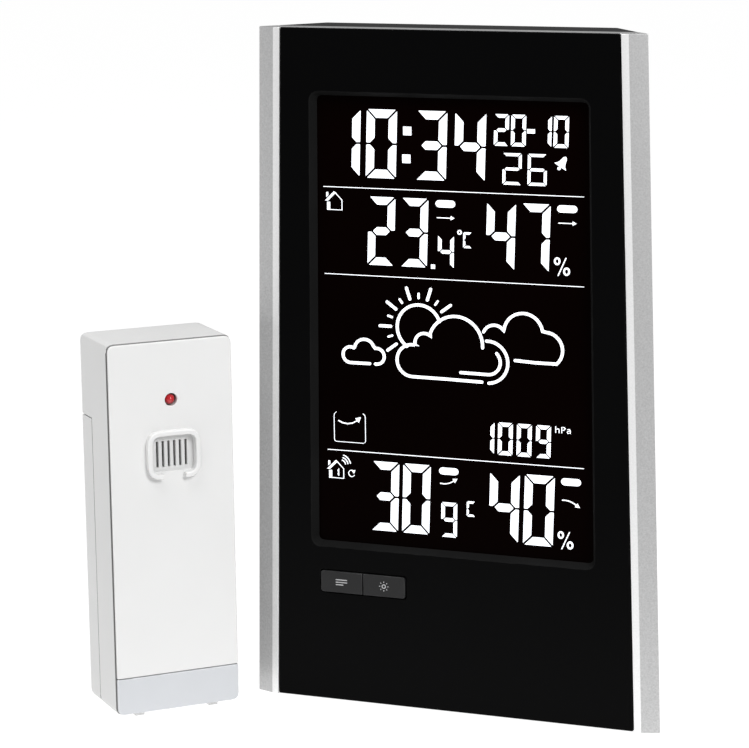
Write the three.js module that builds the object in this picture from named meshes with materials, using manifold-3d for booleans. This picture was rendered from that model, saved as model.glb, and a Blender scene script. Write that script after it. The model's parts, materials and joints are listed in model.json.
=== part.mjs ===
// Home weather station: a free-standing display unit and its wireless outdoor sensor.
// Millimetres, +Z up. The display faces -Y, and X runs to the viewer's right.
import * as THREE from 'three';
import { mergeVertices } from 'three/addons/utils/BufferGeometryUtils.js';
import Module from 'manifold-3d';

const wasm = await Module();
wasm.setup();

// ---- Driving dimensions ----------------------------------------------------

// Gaps between pieces
const GAP = 0.3; // two pieces that meet
const SCREW_PLAY = 0.3; // round a screw's shank and head
const PAST = 1; // how far a cut runs past the face that it opens
const FUSE = 0.2; // how far two joined shapes run into each other

// Display unit, overall. The black front is a little wider at the base.
const UNIT_HEIGHT = 200;
const UNIT_DEPTH = 24;
const FRONT_HALF_BOTTOM = 55.6;
const FRONT_HALF_TOP = 51.1;
const WALL = 2;

// Silver frame: a narrow facet, a wide side facet, then back to the casing
const EDGE_FACET_WIDTH = 2.3;
const EDGE_FACET_DROP = 0.3;
const SIDE_FACET_WIDTH = 5.15;
const SIDE_FACET_DROP = 1.75;
const FRAME_DEPTH = 6;
const FRAME_BACK_OVERHANG = 3.6;
const FRAME_RIM = 2.4;
const WEB_THICKNESS = 1.7;
const LIP_HEIGHT = 1.5;
const LIP_SETBACK = 1.1;

// Black front panel, its display window and its two keys
const PANEL_THICKNESS = 3;
const WINDOW_ABOVE_BAY = 10.4; // its lower edge over the battery bay behind
const WINDOW_BELOW_TOP = 19.6;
const WINDOW_HALF_BOTTOM = 42.6;
const WINDOW_HALF_TOP = 41;
const WINDOW_CORNER = 1.6;
const WINDOW_BEVEL = 1.4;
const FRONT_KEY_LEFT = -41;
const FRONT_KEY_WIDTH = 13.2;
const FRONT_KEY_HEIGHT = 6.4;
const FRONT_KEY_BELOW_WINDOW = 8.6;
const FRONT_KEY_CORNER = 0.9;
const FRONT_KEY_PROUD = 0.5;
const FRONT_KEY_STEM_RADIUS = 1.2;
const KEY_TRAVEL = 0.5;
const KEY_FLANGE = 0.8;
const KEY_FLANGE_THICKNESS = 1;
const KEY_BOARD_THICKNESS = 1.2;
const KEY_BOARD_MARGIN = 1;

// Display stack, from the panel backwards
const GLASS_THICKNESS = 2.6;
const GLASS_MARGIN = 1.2;
const LIGHT_THICKNESS = 2.5;
const HOLDER_THICKNESS = 1.2;
const STANDOFF_HEIGHT = 2;
const STANDOFF_RADIUS = 2.5;
const STANDOFF_IN_FROM_SIDE = 6;
const STANDOFF_IN_FROM_END = 8;
const BOARD_THICKNESS = 1.6;
const BOARD_HALF_WIDTH = 38;
const BOARD_BELOW_WINDOW_TOP = 8.4;
const STRIP_HEIGHT = 2.4;

// On the main board's back: place across and up, then size across, up and out
const CONTROLLER = { x: 0, z: 122, width: 14, height: 14, depth: 1.6 };
const PRESSURE_SENSOR = { x: -8, z: 92, width: 5, height: 5, depth: 1.8 };
const RECEIVER = { x: 2, z: 156, width: 26, height: 12, depth: 2.4 };
const CRYSTAL = { x: -12, z: 108, radius: 1.5, length: 8 };
const RECEIVER_ANTENNA = { x: 20, z: 152, radius: 2.4, length: 16, turns: 6 };

// Rear casing
const REAR_INSET = 10.6; // how far each side has come in by the back face
const TOP_SLOPE_DEPTH = 5;
const TOP_SLOPE_HEIGHT = 8;
const KEYHOLE_BELOW_TOP = 32;
const KEYHOLE_HEAD_RADIUS = 4;
const KEYHOLE_SLOT_WIDTH = 4.2;
const KEYHOLE_SLOT_RISE = 8;
const REAR_KEY_X = 30;
const REAR_KEY_FIRST_Z = 84;
const REAR_KEY_PITCH = 14;
const REAR_KEY_WIDTH = 8;
const REAR_KEY_HEIGHT = 5;
const REAR_KEY_CORNER = 1.2;
const REAR_KEY_PROUD = 1;
const REAR_KEY_FLANGE = 1;
const REAR_KEY_STEM_RADIUS = 1.5;
const REAR_KEY_NAMES = ['set', 'up', 'down', 'channel'];
const VENT_X = -30;
const VENT_Z = 72;
const VENT_COUNT = 6;
const VENT_PITCH = 3.4;
const VENT_LENGTH = 15;
const VENT_WIDTH = 1.4;
const BUZZER_X = -26;
const BUZZER_Z = 140;
const BUZZER_RADIUS = 6;
const BUZZER_DEPTH = 5;
const SOUND_HOLE_COUNT = 6;
const SOUND_HOLE_RADIUS = 0.8;
const SOUND_HOLE_RING = 3;

// Cells: the display holds three small ones lying down, the sensor two standing
const AAA_RADIUS = 5.25;
const AAA_LENGTH = 44.5;
const AA_RADIUS = 7.25;
const AA_LENGTH = 50.5;
const CELL_NUB_HEIGHT = 1;
const CELL_PLAY = 0.5;
const CONTACT_THICKNESS = 0.5;
const SPRING_LENGTH = 4.6;
const SPRING_WIRE = 0.35;
const SPRING_TURNS = 3.5;
const STUD_HEIGHT = 0.8;

// Of a cell's radius: its nub, a contact plate's reach, a spring's two ends and a stud's
const NUB_SHARE = 0.38;
const PLATE_SHARE = 0.75;
const SPRING_WIDE_SHARE = 0.62;
const SPRING_NARROW_SHARE = 0.35;
const STUD_SHARE = 0.3;
const AA_CONTACT_SHARE = 0.85; // the larger cell's contacts are this much smaller for its size
const CELL_RIM = 0.3;

// Push switches
const FRONT_SWITCH = { size: 5, body: 1.2, buttonRadius: 1.4, button: 0.5 };
const REAR_SWITCH = { size: 6, body: 3.5, buttonRadius: 1.7, button: 0.8 };

// Battery bay and door of the display
const BAY_BOTTOM = 4.5;
const BAY_WALL = 1.5;
const DOOR_LEDGE = 1.2;
const DOOR_CORNER = 1.5;
const DOOR_GRIP_HALF_WIDTH = 9;
const DOOR_GRIP_HEIGHT = 5;
const DOOR_GRIP_DEPTH = 0.7;
const DOOR_GRIP_BELOW_TOP = 4;

// Fold-out stand: a U-shaped bail round the battery door
const STAND_ARM_WIDTH = 4.7;
const STAND_THICKNESS = 3.4;
const STAND_BAR_WIDTH = 8;
const STAND_PIVOT_Z = 1.9;
const STAND_EYE_RADIUS = 1.7;
const STAND_PIN_RADIUS = 0.9;
const STAND_PIN_LENGTH = 1.3;
const STAND_RIB = 1.2; // between its recess and the battery door
const THUMB_HALF_WIDTH = 8;
const THUMB_RISE = 4;

// Casing screws of the display
const SCREW_HEAD_RADIUS = 2.3;
const SCREW_HEAD_HEIGHT = 1.6;
const SCREW_SHANK_RADIUS = 1.05;
const SCREW_HEAD_SEAT = 5; // how deep the head's seat lies under the back face
const SCREW_BOTTOM_X = 41.5;
const SCREW_BELOW_KEYS = 11.4;
const SCREW_TOP_X = 36;
const SCREW_BELOW_TOP = 11;
const BOSS_WALL = 1.1;

// Outdoor sensor: overall size, and where it stands beside the display
const SENSOR_WIDTH = 38.4;
const SENSOR_DEPTH = 24;
const SENSOR_HEIGHT = 111.8;
const SENSOR_CORNER = 2.4;
const SENSOR_WALL = 2;
const SENSOR_PLACE = [-84.5, -18.4];
const SENSOR_YAW_DEG = 46;
const FOOT_HEIGHT = 1.2;
const FOOT_WIDTH = 3;
const FOOT_X = 11.5;
const COVER_THICKNESS = 2;
const COVER_INSET = 0.3;
const COVER_LIP = 0.9; // the cover's edge, which lies in front of the shell
const TRIM_HEIGHT = 10.8;
const TRIM_THICKNESS = 0.9;
const SENSOR_DOOR_DEPTH = 8.3;
const SENSOR_DOOR_TOP = 87.5;
const LED_Z = 94.3;
const LED_RADIUS = 1.6;
const LED_DIMPLE_RADIUS = 2.45;
const DIMPLE_DEPTH = 0.9;
const HOOD_HALF_WIDTH = 8.2;
const HOOD_BOTTOM = 71.2;
const HOOD_TOP = 85.5;
const HOOD_CORNER = 4.2;
const HOOD_WALL = 1.5;
const HOOD_HEIGHT = 2;
const HOOD_MOUTH_HALF = 3.4;
const SLOT_COUNT = 6;
const SLOT_PITCH = 1.76;
const SLOT_WIDTH = 0.7;
const SLOT_RECESS_DEPTH = 0.7;
const SLOT_RECESS_MARGIN = 1.2; // from the slots' lower ends to the recess's lower edge
const SLOT_RECESS_CORNER = 1;
const SLOT_BOTTOM = 74.4;
const SLOT_TOP = 82.1;
const SENSOR_SCREW_ZS = [18, 54];
const SENSOR_SCREW_HEAD_RADIUS = 2;
const SENSOR_SCREW_SHANK_RADIUS = 0.9;
const SENSOR_SCREW_HEAD_HEIGHT = 1.3;
const SENSOR_BOSS_WALL = 1.4;
const SENSOR_KEYHOLE_Z = 97;
const SENSOR_KEYHOLE_RISE = 7;
const SENSOR_GRIP_HALF_WIDTH = 7;
const SENSOR_GRIP_HEIGHT = 1.2;
const SENSOR_GRIP_DEPTH = 0.6;
const SENSOR_GRIP_BELOW_TOP = 8;
const SENSOR_GRIP_PITCH = 2.4;
const SENSOR_BOARD_STANDS_OFF = 4.4;
const PROBE_SIZE = 7;
const PROBE_DEPTH = 2.2;
const RADIO = { x: -7, z: 94.5, width: 12, height: 13, depth: 2 };
const SENSOR_ANTENNA = { x: 9, z: 91, radius: 2.2, length: 13, turns: 5 };
const ANTENNA_WIRE = 0.4;

// Channel switch of the sensor, under its battery door
const SWITCH_X = 7;
const SWITCH_Z = 73;
const SWITCH_TRAVEL = 4;
const SWITCH_HALF_WIDTH = 6;
const SWITCH_HALF_HEIGHT = 3;
const SWITCH_WINDOW_HALF_WIDTH = 5;
const SWITCH_WINDOW_HALF_HEIGHT = 2.4;
const SWITCH_PLAY = 0.4; // past each end of the knob's travel
const KNOB_WIDTH = 3.6;
const KNOB_HALF_HEIGHT = 1.3;
const KNOB_DEPTH = 0.9;
const KNOB_PROUD = 0.8;

// ---- Finishes --------------------------------------------------------------

const FINISHES = {
  silver: { color: 0xb9bbbd, roughness: 0.35, metalness: 0.6 },
  glossBlack: { color: 0x0a0a0b, roughness: 0.08, metalness: 0 },
  mattBlack: { color: 0x161617, roughness: 0.6, metalness: 0 },
  keyGrey: { color: 0x303032, roughness: 0.5, metalness: 0 },
  displayGlass: { color: 0x050405, roughness: 0.1, metalness: 0 },
  lightGuide: { color: 0xf2f2ee, roughness: 0.3, metalness: 0 },
  whitePlastic: { color: 0xe9e9e7, roughness: 0.4, metalness: 0 },
  trimSilver: { color: 0xd3d6da, roughness: 0.35, metalness: 0.4 },
  board: { color: 0x1f5a33, roughness: 0.5, metalness: 0 },
  chip: { color: 0x18181a, roughness: 0.5, metalness: 0 },
  nickel: { color: 0xc9c8c2, roughness: 0.25, metalness: 1 },
  copper: { color: 0xb87345, roughness: 0.3, metalness: 1 },
  steel: { color: 0x9a9b9e, roughness: 0.3, metalness: 1 },
  cell: { color: 0x2f6f8f, roughness: 0.35, metalness: 0.2 },
  redLens: { color: 0xb51f26, roughness: 0.15, metalness: 0 },
  rubber: { color: 0x2a2a2a, roughness: 0.8, metalness: 0 },
};

// ---- Solids: three.js shapes, joined and cut by manifold -------------------

/** Turns a closed three.js geometry into a solid. */
function solid(geometry) {
  geometry.deleteAttribute('normal');
  geometry.deleteAttribute('uv');
  const merged = mergeVertices(geometry, 1e-4);
  const triVerts = Uint32Array.from(merged.index.array);
  const vertProperties = Float32Array.from(merged.attributes.position.array);
  return new wasm.Manifold(new wasm.Mesh({ numProp: 3, vertProperties, triVerts }));
}

function join(first, ...others) {
  return others.reduce((whole, other) => whole.add(other), first);
}

function cut(first, ...others) {
  return others.reduce((whole, other) => whole.subtract(other), first);
}

/** Two numbers in rising order. */
function rising(a, b) {
  return a < b ? [a, b] : [b, a];
}

/** A box from its two corners. */
function boxGeometry([x0, y0, z0], [x1, y1, z1]) {
  const geometry = new THREE.BoxGeometry(x1 - x0, y1 - y0, z1 - z0);
  return geometry.translate((x0 + x1) / 2, (y0 + y1) / 2, (z0 + z1) / 2);
}

function box(low, high) {
  return solid(boxGeometry(low, high));
}

/** Half of the black front's width at a height. */
function frontHalf(z) {
  return FRONT_HALF_BOTTOM + ((FRONT_HALF_TOP - FRONT_HALF_BOTTOM) * z) / UNIT_HEIGHT;
}

/** Leans both sides of a geometry inward with height, as the display unit's sides do. */
function flare(geometry) {
  const position = geometry.attributes.position;
  for (let i = 0; i < position.count; i += 1) {
    const x = position.getX(i);
    const inward = FRONT_HALF_BOTTOM - frontHalf(position.getZ(i));
    position.setX(i, x - Math.sign(x) * inward);
  }
  return geometry;
}

/** A box across the unit whose sides lie half from the centre at the base and follow the flare. */
function flaredBox(half, y0, y1, z0, z1) {
  return solid(flare(boxGeometry([-half, y0, z0], [half, y1, z1])));
}

function outline(points) {
  return new THREE.Shape(points.map(([x, y]) => new THREE.Vector2(x, y)));
}

/** A polygon with every corner rounded by the same radius. */
function roundedOutline(points, radius) {
  const shape = new THREE.Shape();
  const corners = points.map(([x, y]) => new THREE.Vector2(x, y));
  corners.forEach((corner, i) => {
    const before = corners[(i + corners.length - 1) % corners.length];
    const after = corners[(i + 1) % corners.length];
    const start = before.clone().sub(corner).setLength(radius).add(corner);
    const end = after.clone().sub(corner).setLength(radius).add(corner);
    if (i === 0) {
      shape.moveTo(start.x, start.y);
    } else {
      shape.lineTo(start.x, start.y);
    }
    shape.quadraticCurveTo(corner.x, corner.y, end.x, end.y);
  });
  shape.closePath();
  return shape;
}

function rectanglePoints(x0, x1, y0, y1) {
  return [[x0, y0], [x1, y0], [x1, y1], [x0, y1]];
}

const CORNER_STEPS = 4;

/** Extrudes an outline drawn in X and Z along Y, from y0 to y1. */
function alongY(shape, y0, y1) {
  const options = { depth: y1 - y0, bevelEnabled: false, curveSegments: CORNER_STEPS };
  const geometry = new THREE.ExtrudeGeometry(shape, options);
  return solid(geometry.rotateX(Math.PI / 2).translate(0, y1, 0));
}

/** Extrudes an outline drawn in X and Y along Z. */
function alongZ(shape, z0, z1) {
  const options = { depth: z1 - z0, bevelEnabled: false, curveSegments: CORNER_STEPS };
  return new THREE.ExtrudeGeometry(shape, options).translate(0, 0, z0);
}

/** Extrudes an outline drawn in Y and Z along X. */
function alongX(shape, x0, x1) {
  const options = { depth: x1 - x0, bevelEnabled: false, curveSegments: CORNER_STEPS };
  const turn = new THREE.Matrix4().makeBasis(
    new THREE.Vector3(0, 1, 0),
    new THREE.Vector3(0, 0, 1),
    new THREE.Vector3(1, 0, 0),
  );
  const geometry = new THREE.ExtrudeGeometry(shape, options).applyMatrix4(turn);
  return solid(geometry.translate(x0, 0, 0));
}

/** A round bar along Y. */
function barY(radius, x, z, y0, y1, sides = 20) {
  const geometry = new THREE.CylinderGeometry(radius, radius, y1 - y0, sides);
  return solid(geometry.translate(x, (y0 + y1) / 2, z));
}

/** A round bar along X. */
function barX(radius, y, z, x0, x1, sides = 16) {
  const geometry = new THREE.CylinderGeometry(radius, radius, x1 - x0, sides);
  return solid(geometry.rotateZ(Math.PI / 2).translate((x0 + x1) / 2, y, z));
}

/** A round bar along Z. */
function barZ(radius, x, y, z0, z1, sides = 16) {
  const geometry = new THREE.CylinderGeometry(radius, radius, z1 - z0, sides);
  return solid(geometry.rotateX(Math.PI / 2).translate(x, y, (z0 + z1) / 2));
}

/** A turned solid round the Y axis, from [radius, height] pairs that start and end on it. */
function turned(profile, sides = 20) {
  const points = profile.map(([radius, height]) => new THREE.Vector2(radius, height));
  return new THREE.LatheGeometry(points, sides);
}

/** A coil of round wire standing on Y, with its radius going from one value to another. */
class Coil extends THREE.Curve {
  constructor(startRadius, endRadius, length, turns) {
    super();
    Object.assign(this, { startRadius, endRadius, length, turns });
  }

  getPoint(t, target = new THREE.Vector3()) {
    const radius = this.startRadius + (this.endRadius - this.startRadius) * t;
    const angle = 2 * Math.PI * this.turns * t;
    return target.set(radius * Math.cos(angle), this.length * t, radius * Math.sin(angle));
  }
}

const COIL_STEPS_PER_TURN = 10;
const WIRE_SIDES = 6;

function coilGeometry(wireRadius, startRadius, endRadius, length, turns) {
  const section = new THREE.Shape();
  section.absarc(0, 0, wireRadius, 0, 2 * Math.PI);
  const path = new Coil(startRadius, endRadius, length, turns);
  const steps = Math.round(turns * COIL_STEPS_PER_TURN);
  const options = { steps, extrudePath: path, curveSegments: WIRE_SIDES / 2 };
  return new THREE.ExtrudeGeometry(section, options);
}

/** A named mesh made from a solid, in a finish. */
function piece(name, body, finish) {
  const mesh = body.getMesh();
  const geometry = new THREE.BufferGeometry();
  geometry.setAttribute('position', new THREE.BufferAttribute(Float32Array.from(mesh.vertProperties), 3));
  geometry.setIndex(new THREE.BufferAttribute(Uint32Array.from(mesh.triVerts), 1));
  geometry.computeVertexNormals();
  const made = new THREE.Mesh(geometry, new THREE.MeshStandardMaterial(FINISHES[finish]));
  made.name = name;
  return made;
}

// ---- Places worked out from the driving dimensions -------------------------

// Depths, from the front back
const CASE_FRONT = FRAME_DEPTH + GAP;
const WEB_FRONT = PANEL_THICKNESS + GAP;
const WEB_BACK = WEB_FRONT + WEB_THICKNESS;
const GLASS_FRONT = PANEL_THICKNESS + GAP;
const GLASS_BACK = GLASS_FRONT + GLASS_THICKNESS;
const LIGHT_FRONT = GLASS_BACK + GAP;
const LIGHT_BACK = LIGHT_FRONT + LIGHT_THICKNESS;
const HOLDER_FRONT = LIGHT_BACK + GAP;
const HOLDER_BACK = HOLDER_FRONT + HOLDER_THICKNESS;
const BOARD_FRONT = HOLDER_BACK + STANDOFF_HEIGHT + GAP;
const BOARD_BACK = BOARD_FRONT + BOARD_THICKNESS;
const CHIP_FRONT = BOARD_BACK + GAP;
const BACK_INNER = UNIT_DEPTH - WALL;

// Battery bay: the cells lie across the unit, one above another
const CELL_COUNT = 3;
const CELL_PITCH = 2 * AAA_RADIUS + CELL_PLAY;
const BAY_HALF = AAA_LENGTH / 2 + GAP + SPRING_LENGTH + CONTACT_THICKNESS + GAP;
const BAY_TOP = BAY_BOTTOM + CELL_COUNT * CELL_PITCH + CELL_PLAY;
const CELL_Y = BACK_INNER - GAP - CELL_PLAY - AAA_RADIUS;
const BAY_FLOOR = CELL_Y - AAA_RADIUS - GAP;
const CELL_ZS = Array.from(
  { length: CELL_COUNT },
  (_, i) => BAY_BOTTOM + (i + 0.5) * CELL_PITCH + CELL_PLAY / 2,
);
const DOOR_HALF = BAY_HALF + DOOR_LEDGE;
const DOOR_BOTTOM = BAY_BOTTOM - DOOR_LEDGE;
const DOOR_TOP = BAY_TOP + DOOR_LEDGE;

// Heights of the window, the keys below it and the stack behind it
const WINDOW_BOTTOM = BAY_TOP + WINDOW_ABOVE_BAY;
const WINDOW_TOP = UNIT_HEIGHT - WINDOW_BELOW_TOP;
const STACK_BOTTOM = WINDOW_BOTTOM + GAP;
const STRIP_BOTTOM = WINDOW_BOTTOM - STRIP_HEIGHT;
const GLASS_BOTTOM = STRIP_BOTTOM - GLASS_MARGIN;
const GLASS_TOP = WINDOW_TOP + GLASS_MARGIN + WINDOW_BEVEL;
const GLASS_HALF = WINDOW_HALF_BOTTOM + GLASS_MARGIN;
const BOARD_TOP = WINDOW_TOP - BOARD_BELOW_WINDOW_TOP;
const FRONT_KEY_BOTTOM = WINDOW_BOTTOM - FRONT_KEY_BELOW_WINDOW - FRONT_KEY_HEIGHT;
const KEYHOLE_Z = UNIT_HEIGHT - KEYHOLE_BELOW_TOP;

// Stand: its recess hugs the door, and its bar closes above it
const RECESS_INNER = DOOR_HALF + GAP + STAND_RIB;
const STAND_INNER = RECESS_INNER + GAP;
const STAND_OUTER = STAND_INNER + STAND_ARM_WIDTH;
const RECESS_OUTER = STAND_OUTER + GAP;
const STAND_PIVOT_Y = UNIT_DEPTH - STAND_PIVOT_Z - GAP;
const RECESS_FLOOR = STAND_PIVOT_Y - STAND_PIVOT_Z - GAP;
const STAND_BAR_START = DOOR_TOP + GAP + STAND_RIB + 2 * GAP - STAND_PIVOT_Z;
const STAND_LENGTH = STAND_BAR_START + STAND_BAR_WIDTH;
const RECESS_TOP = STAND_PIVOT_Z + STAND_LENGTH + 2 * GAP;

const SCREW_SEAT_Y = UNIT_DEPTH - SCREW_HEAD_SEAT;
const BOSS_MEET_Y = UNIT_DEPTH / 2;
const HEAD_HOLE_RADIUS = SCREW_HEAD_RADIUS + SCREW_PLAY;
const SHANK_HOLE_RADIUS = SCREW_SHANK_RADIUS + SCREW_PLAY;
const BOSS_RADIUS = HEAD_HOLE_RADIUS + BOSS_WALL;
const SCREW_PLACES = [
  [-SCREW_BOTTOM_X, FRONT_KEY_BOTTOM - SCREW_BELOW_KEYS],
  [SCREW_BOTTOM_X, FRONT_KEY_BOTTOM - SCREW_BELOW_KEYS],
  [-SCREW_TOP_X, UNIT_HEIGHT - SCREW_BELOW_TOP],
  [SCREW_TOP_X, UNIT_HEIGHT - SCREW_BELOW_TOP],
];

// The rear casing's sides come in by this much for each millimetre of depth
const CASE_EDGE_HALF = FRONT_HALF_BOTTOM + FRAME_BACK_OVERHANG - GAP;
const CASE_BACK_HALF = FRONT_HALF_BOTTOM - REAR_INSET;
const CASE_TAPER = (CASE_EDGE_HALF - CASE_BACK_HALF) / (UNIT_DEPTH - CASE_FRONT);

/** Half of the rear casing's width at the base, at a depth. */
function caseHalf(y) {
  return CASE_EDGE_HALF - CASE_TAPER * (y - CASE_FRONT);
}

// ---- Display unit: the shells ----------------------------------------------

function frontKeyOpening() {
  const left = FRONT_KEY_LEFT - GAP;
  const right = FRONT_KEY_LEFT + 2 * FRONT_KEY_WIDTH + 2 * GAP;
  const bottom = FRONT_KEY_BOTTOM - GAP;
  const top = FRONT_KEY_BOTTOM + FRONT_KEY_HEIGHT + GAP;
  return { left, right, bottom, top };
}

function windowOutline() {
  const points = [
    [-WINDOW_HALF_BOTTOM, WINDOW_BOTTOM],
    [WINDOW_HALF_BOTTOM, WINDOW_BOTTOM],
    [WINDOW_HALF_TOP, WINDOW_TOP],
    [-WINDOW_HALF_TOP, WINDOW_TOP],
  ];
  return roundedOutline(points, WINDOW_CORNER);
}

/** The window's cut: its outline at the panel's back, opening out towards the front. */
function windowCut() {
  const shape = windowOutline();
  const options = {
    depth: PAST,
    bevelThickness: PANEL_THICKNESS,
    bevelSize: WINDOW_BEVEL,
    bevelSegments: 1,
    curveSegments: CORNER_STEPS,
  };
  const sloped = solid(new THREE.ExtrudeGeometry(shape, options).rotateX(Math.PI / 2));
  return join(sloped, alongY(shape, PANEL_THICKNESS - GAP, PANEL_THICKNESS + PAST));
}

function frontPanel() {
  const half = FRONT_HALF_BOTTOM - GAP / 2;
  const thickTop = UNIT_HEIGHT - LIP_HEIGHT - GAP;
  const skin = flaredBox(half, 0, LIP_SETBACK - GAP, GAP, UNIT_HEIGHT);
  const back = flaredBox(half, 0, PANEL_THICKNESS, GAP, thickTop);
  const { left, right, bottom, top } = frontKeyOpening();
  const keyShape = roundedOutline(rectanglePoints(left, right, bottom, top), FRONT_KEY_CORNER);
  const keyCut = alongY(keyShape, -PAST, PANEL_THICKNESS + PAST);
  return piece('front_panel', cut(join(skin, back), windowCut(), keyCut), 'glossBlack');
}

/** The frame's section in X and Y at the base. */
function frameSection() {
  const side = [
    [FRONT_HALF_BOTTOM, 0],
    [FRONT_HALF_BOTTOM + EDGE_FACET_WIDTH, EDGE_FACET_DROP],
    [FRONT_HALF_BOTTOM + EDGE_FACET_WIDTH + SIDE_FACET_WIDTH, EDGE_FACET_DROP + SIDE_FACET_DROP],
    [FRONT_HALF_BOTTOM + FRAME_BACK_OVERHANG, FRAME_DEPTH],
  ];
  const mirrored = side.map(([x, y]) => [-x, y]).reverse();
  return outline([...side, ...mirrored]);
}

function frontFrame() {
  const bar = solid(flare(alongZ(frameSection(), 0, UNIT_HEIGHT)));
  const half = FRONT_HALF_BOTTOM + GAP / 2;
  const seat = flaredBox(half, -PAST, WEB_FRONT, -PAST, UNIT_HEIGHT - LIP_HEIGHT);
  const slice = flaredBox(half, -PAST, LIP_SETBACK, -PAST, UNIT_HEIGHT + PAST);
  const rimHalf = FRONT_HALF_BOTTOM + FRAME_BACK_OVERHANG - FRAME_RIM;
  const hollow = flaredBox(rimHalf, WEB_BACK, FRAME_DEPTH + PAST, WALL, UNIT_HEIGHT - WALL);
  const glassHole = box(
    [-GLASS_HALF - GAP, 0, GLASS_BOTTOM - GAP],
    [GLASS_HALF + GAP, FRAME_DEPTH, GLASS_TOP + GAP],
  );
  const { left, right, bottom, top } = frontKeyOpening();
  const room = KEY_FLANGE + GAP;
  const keyHole = box([left - room, 0, bottom - room], [right + room, FRAME_DEPTH, top + room]);
  const bosses = SCREW_PLACES.map(([x, z]) => barY(BOSS_RADIUS, x, z, WEB_BACK - GAP, BOSS_MEET_Y));
  const threads = SCREW_PLACES.map(
    ([x, z]) => barY(SHANK_HOLE_RADIUS, x, z, WEB_BACK + GAP, BOSS_MEET_Y + PAST),
  );
  const web = cut(bar, seat, slice, hollow, glassHole, keyHole);
  return piece('front_frame', cut(join(web, ...bosses), ...threads), 'silver');
}

/** A wedge that slopes the casing's top back edge; inset moves it inward for the wall. */
function topSlope(inset) {
  const run = (PAST * TOP_SLOPE_DEPTH) / TOP_SLOPE_HEIGHT;
  const startY = UNIT_DEPTH - TOP_SLOPE_DEPTH - inset;
  const endZ = UNIT_HEIGHT - TOP_SLOPE_HEIGHT - inset;
  const wedge = outline([
    [startY - run, UNIT_HEIGHT + PAST - inset],
    [UNIT_DEPTH + run - inset, endZ - PAST],
    [UNIT_DEPTH + PAST, endZ - PAST],
    [UNIT_DEPTH + PAST, UNIT_HEIGHT + PAST],
    [startY - run, UNIT_HEIGHT + PAST],
  ]);
  return alongX(wedge, -2 * FRONT_HALF_BOTTOM, 2 * FRONT_HALF_BOTTOM);
}

/** The casing's tapered body between two depths and heights, its sides brought in by inset. */
function caseBody(y0, y1, z0, z1, inset) {
  const section = outline([
    [caseHalf(y0) - inset, y0],
    [caseHalf(y1) - inset, y1],
    [inset - caseHalf(y1), y1],
    [inset - caseHalf(y0), y0],
  ]);
  return solid(flare(alongZ(section, z0, z1)));
}

function caseOuter() {
  return cut(caseBody(CASE_FRONT, UNIT_DEPTH, 0, UNIT_HEIGHT, 0), topSlope(0));
}

/** The casing's inside; both slopes take a larger inset for the same wall. */
function caseInner() {
  const sideInset = WALL * Math.hypot(1, CASE_TAPER);
  const inner = caseBody(CASE_FRONT - PAST, BACK_INNER, WALL, UNIT_HEIGHT - WALL, sideInset);
  const slopeLength = Math.hypot(TOP_SLOPE_DEPTH, TOP_SLOPE_HEIGHT);
  return cut(inner, topSlope((WALL * slopeLength) / (TOP_SLOPE_DEPTH + TOP_SLOPE_HEIGHT)));
}

/** Solid stock that the battery bay, the stand's recess and the screw seats are cut from. */
function caseStock() {
  const bay = box(
    [-BAY_HALF - BAY_WALL, BAY_FLOOR - BAY_WALL, BAY_BOTTOM - BAY_WALL],
    [BAY_HALF + BAY_WALL, BACK_INNER, BAY_TOP + BAY_WALL],
  );
  const recess = box(
    [-RECESS_OUTER - BAY_WALL, RECESS_FLOOR - BAY_WALL, 0],
    [RECESS_OUTER + BAY_WALL, BACK_INNER, RECESS_TOP + BAY_WALL],
  );
  const bosses = SCREW_PLACES.map(
    ([x, z]) => barY(BOSS_RADIUS, x, z, BOSS_MEET_Y + GAP, BACK_INNER),
  );
  return join(bay, recess, ...bosses);
}

/** The stand's recess: two arm channels open at the base and a cross channel above the door. */
function standRecess() {
  const arm = (side) => {
    const [x0, x1] = rising(side * RECESS_INNER, side * RECESS_OUTER);
    return box([x0, RECESS_FLOOR, -PAST], [x1, UNIT_DEPTH + PAST, RECESS_TOP]);
  };
  const crossBottom = STAND_PIVOT_Z + STAND_BAR_START - 2 * GAP;
  const cross = box(
    [-RECESS_OUTER, RECESS_FLOOR, crossBottom],
    [RECESS_OUTER, UNIT_DEPTH + PAST, RECESS_TOP],
  );
  const pinHoles = [-1, 1].map((side) => {
    const holeEnd = STAND_OUTER + STAND_PIN_LENGTH + GAP;
    const [x0, x1] = rising(side * (RECESS_OUTER - PAST), side * holeEnd);
    return barX(STAND_PIN_RADIUS + GAP, STAND_PIVOT_Y, STAND_PIVOT_Z, x0, x1);
  });
  const thumb = box(
    [-THUMB_HALF_WIDTH, BACK_INNER, RECESS_TOP - PAST],
    [THUMB_HALF_WIDTH, UNIT_DEPTH + PAST, RECESS_TOP + THUMB_RISE],
  );
  return join(arm(-1), arm(1), cross, thumb, ...pinHoles);
}

function doorRecess() {
  const bay = box(
    [-BAY_HALF, BAY_FLOOR, BAY_BOTTOM],
    [BAY_HALF, UNIT_DEPTH + PAST, BAY_TOP],
  );
  const seat = box(
    [-DOOR_HALF - GAP, BACK_INNER, DOOR_BOTTOM - GAP],
    [DOOR_HALF + GAP, UNIT_DEPTH + PAST, DOOR_TOP + GAP],
  );
  return join(bay, seat);
}

function screwSeats() {
  const cuts = SCREW_PLACES.flatMap(([x, z]) => [
    barY(HEAD_HOLE_RADIUS, x, z, SCREW_SEAT_Y, UNIT_DEPTH + PAST),
    barY(SHANK_HOLE_RADIUS, x, z, BOSS_MEET_Y, UNIT_DEPTH),
  ]);
  return join(...cuts);
}

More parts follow.
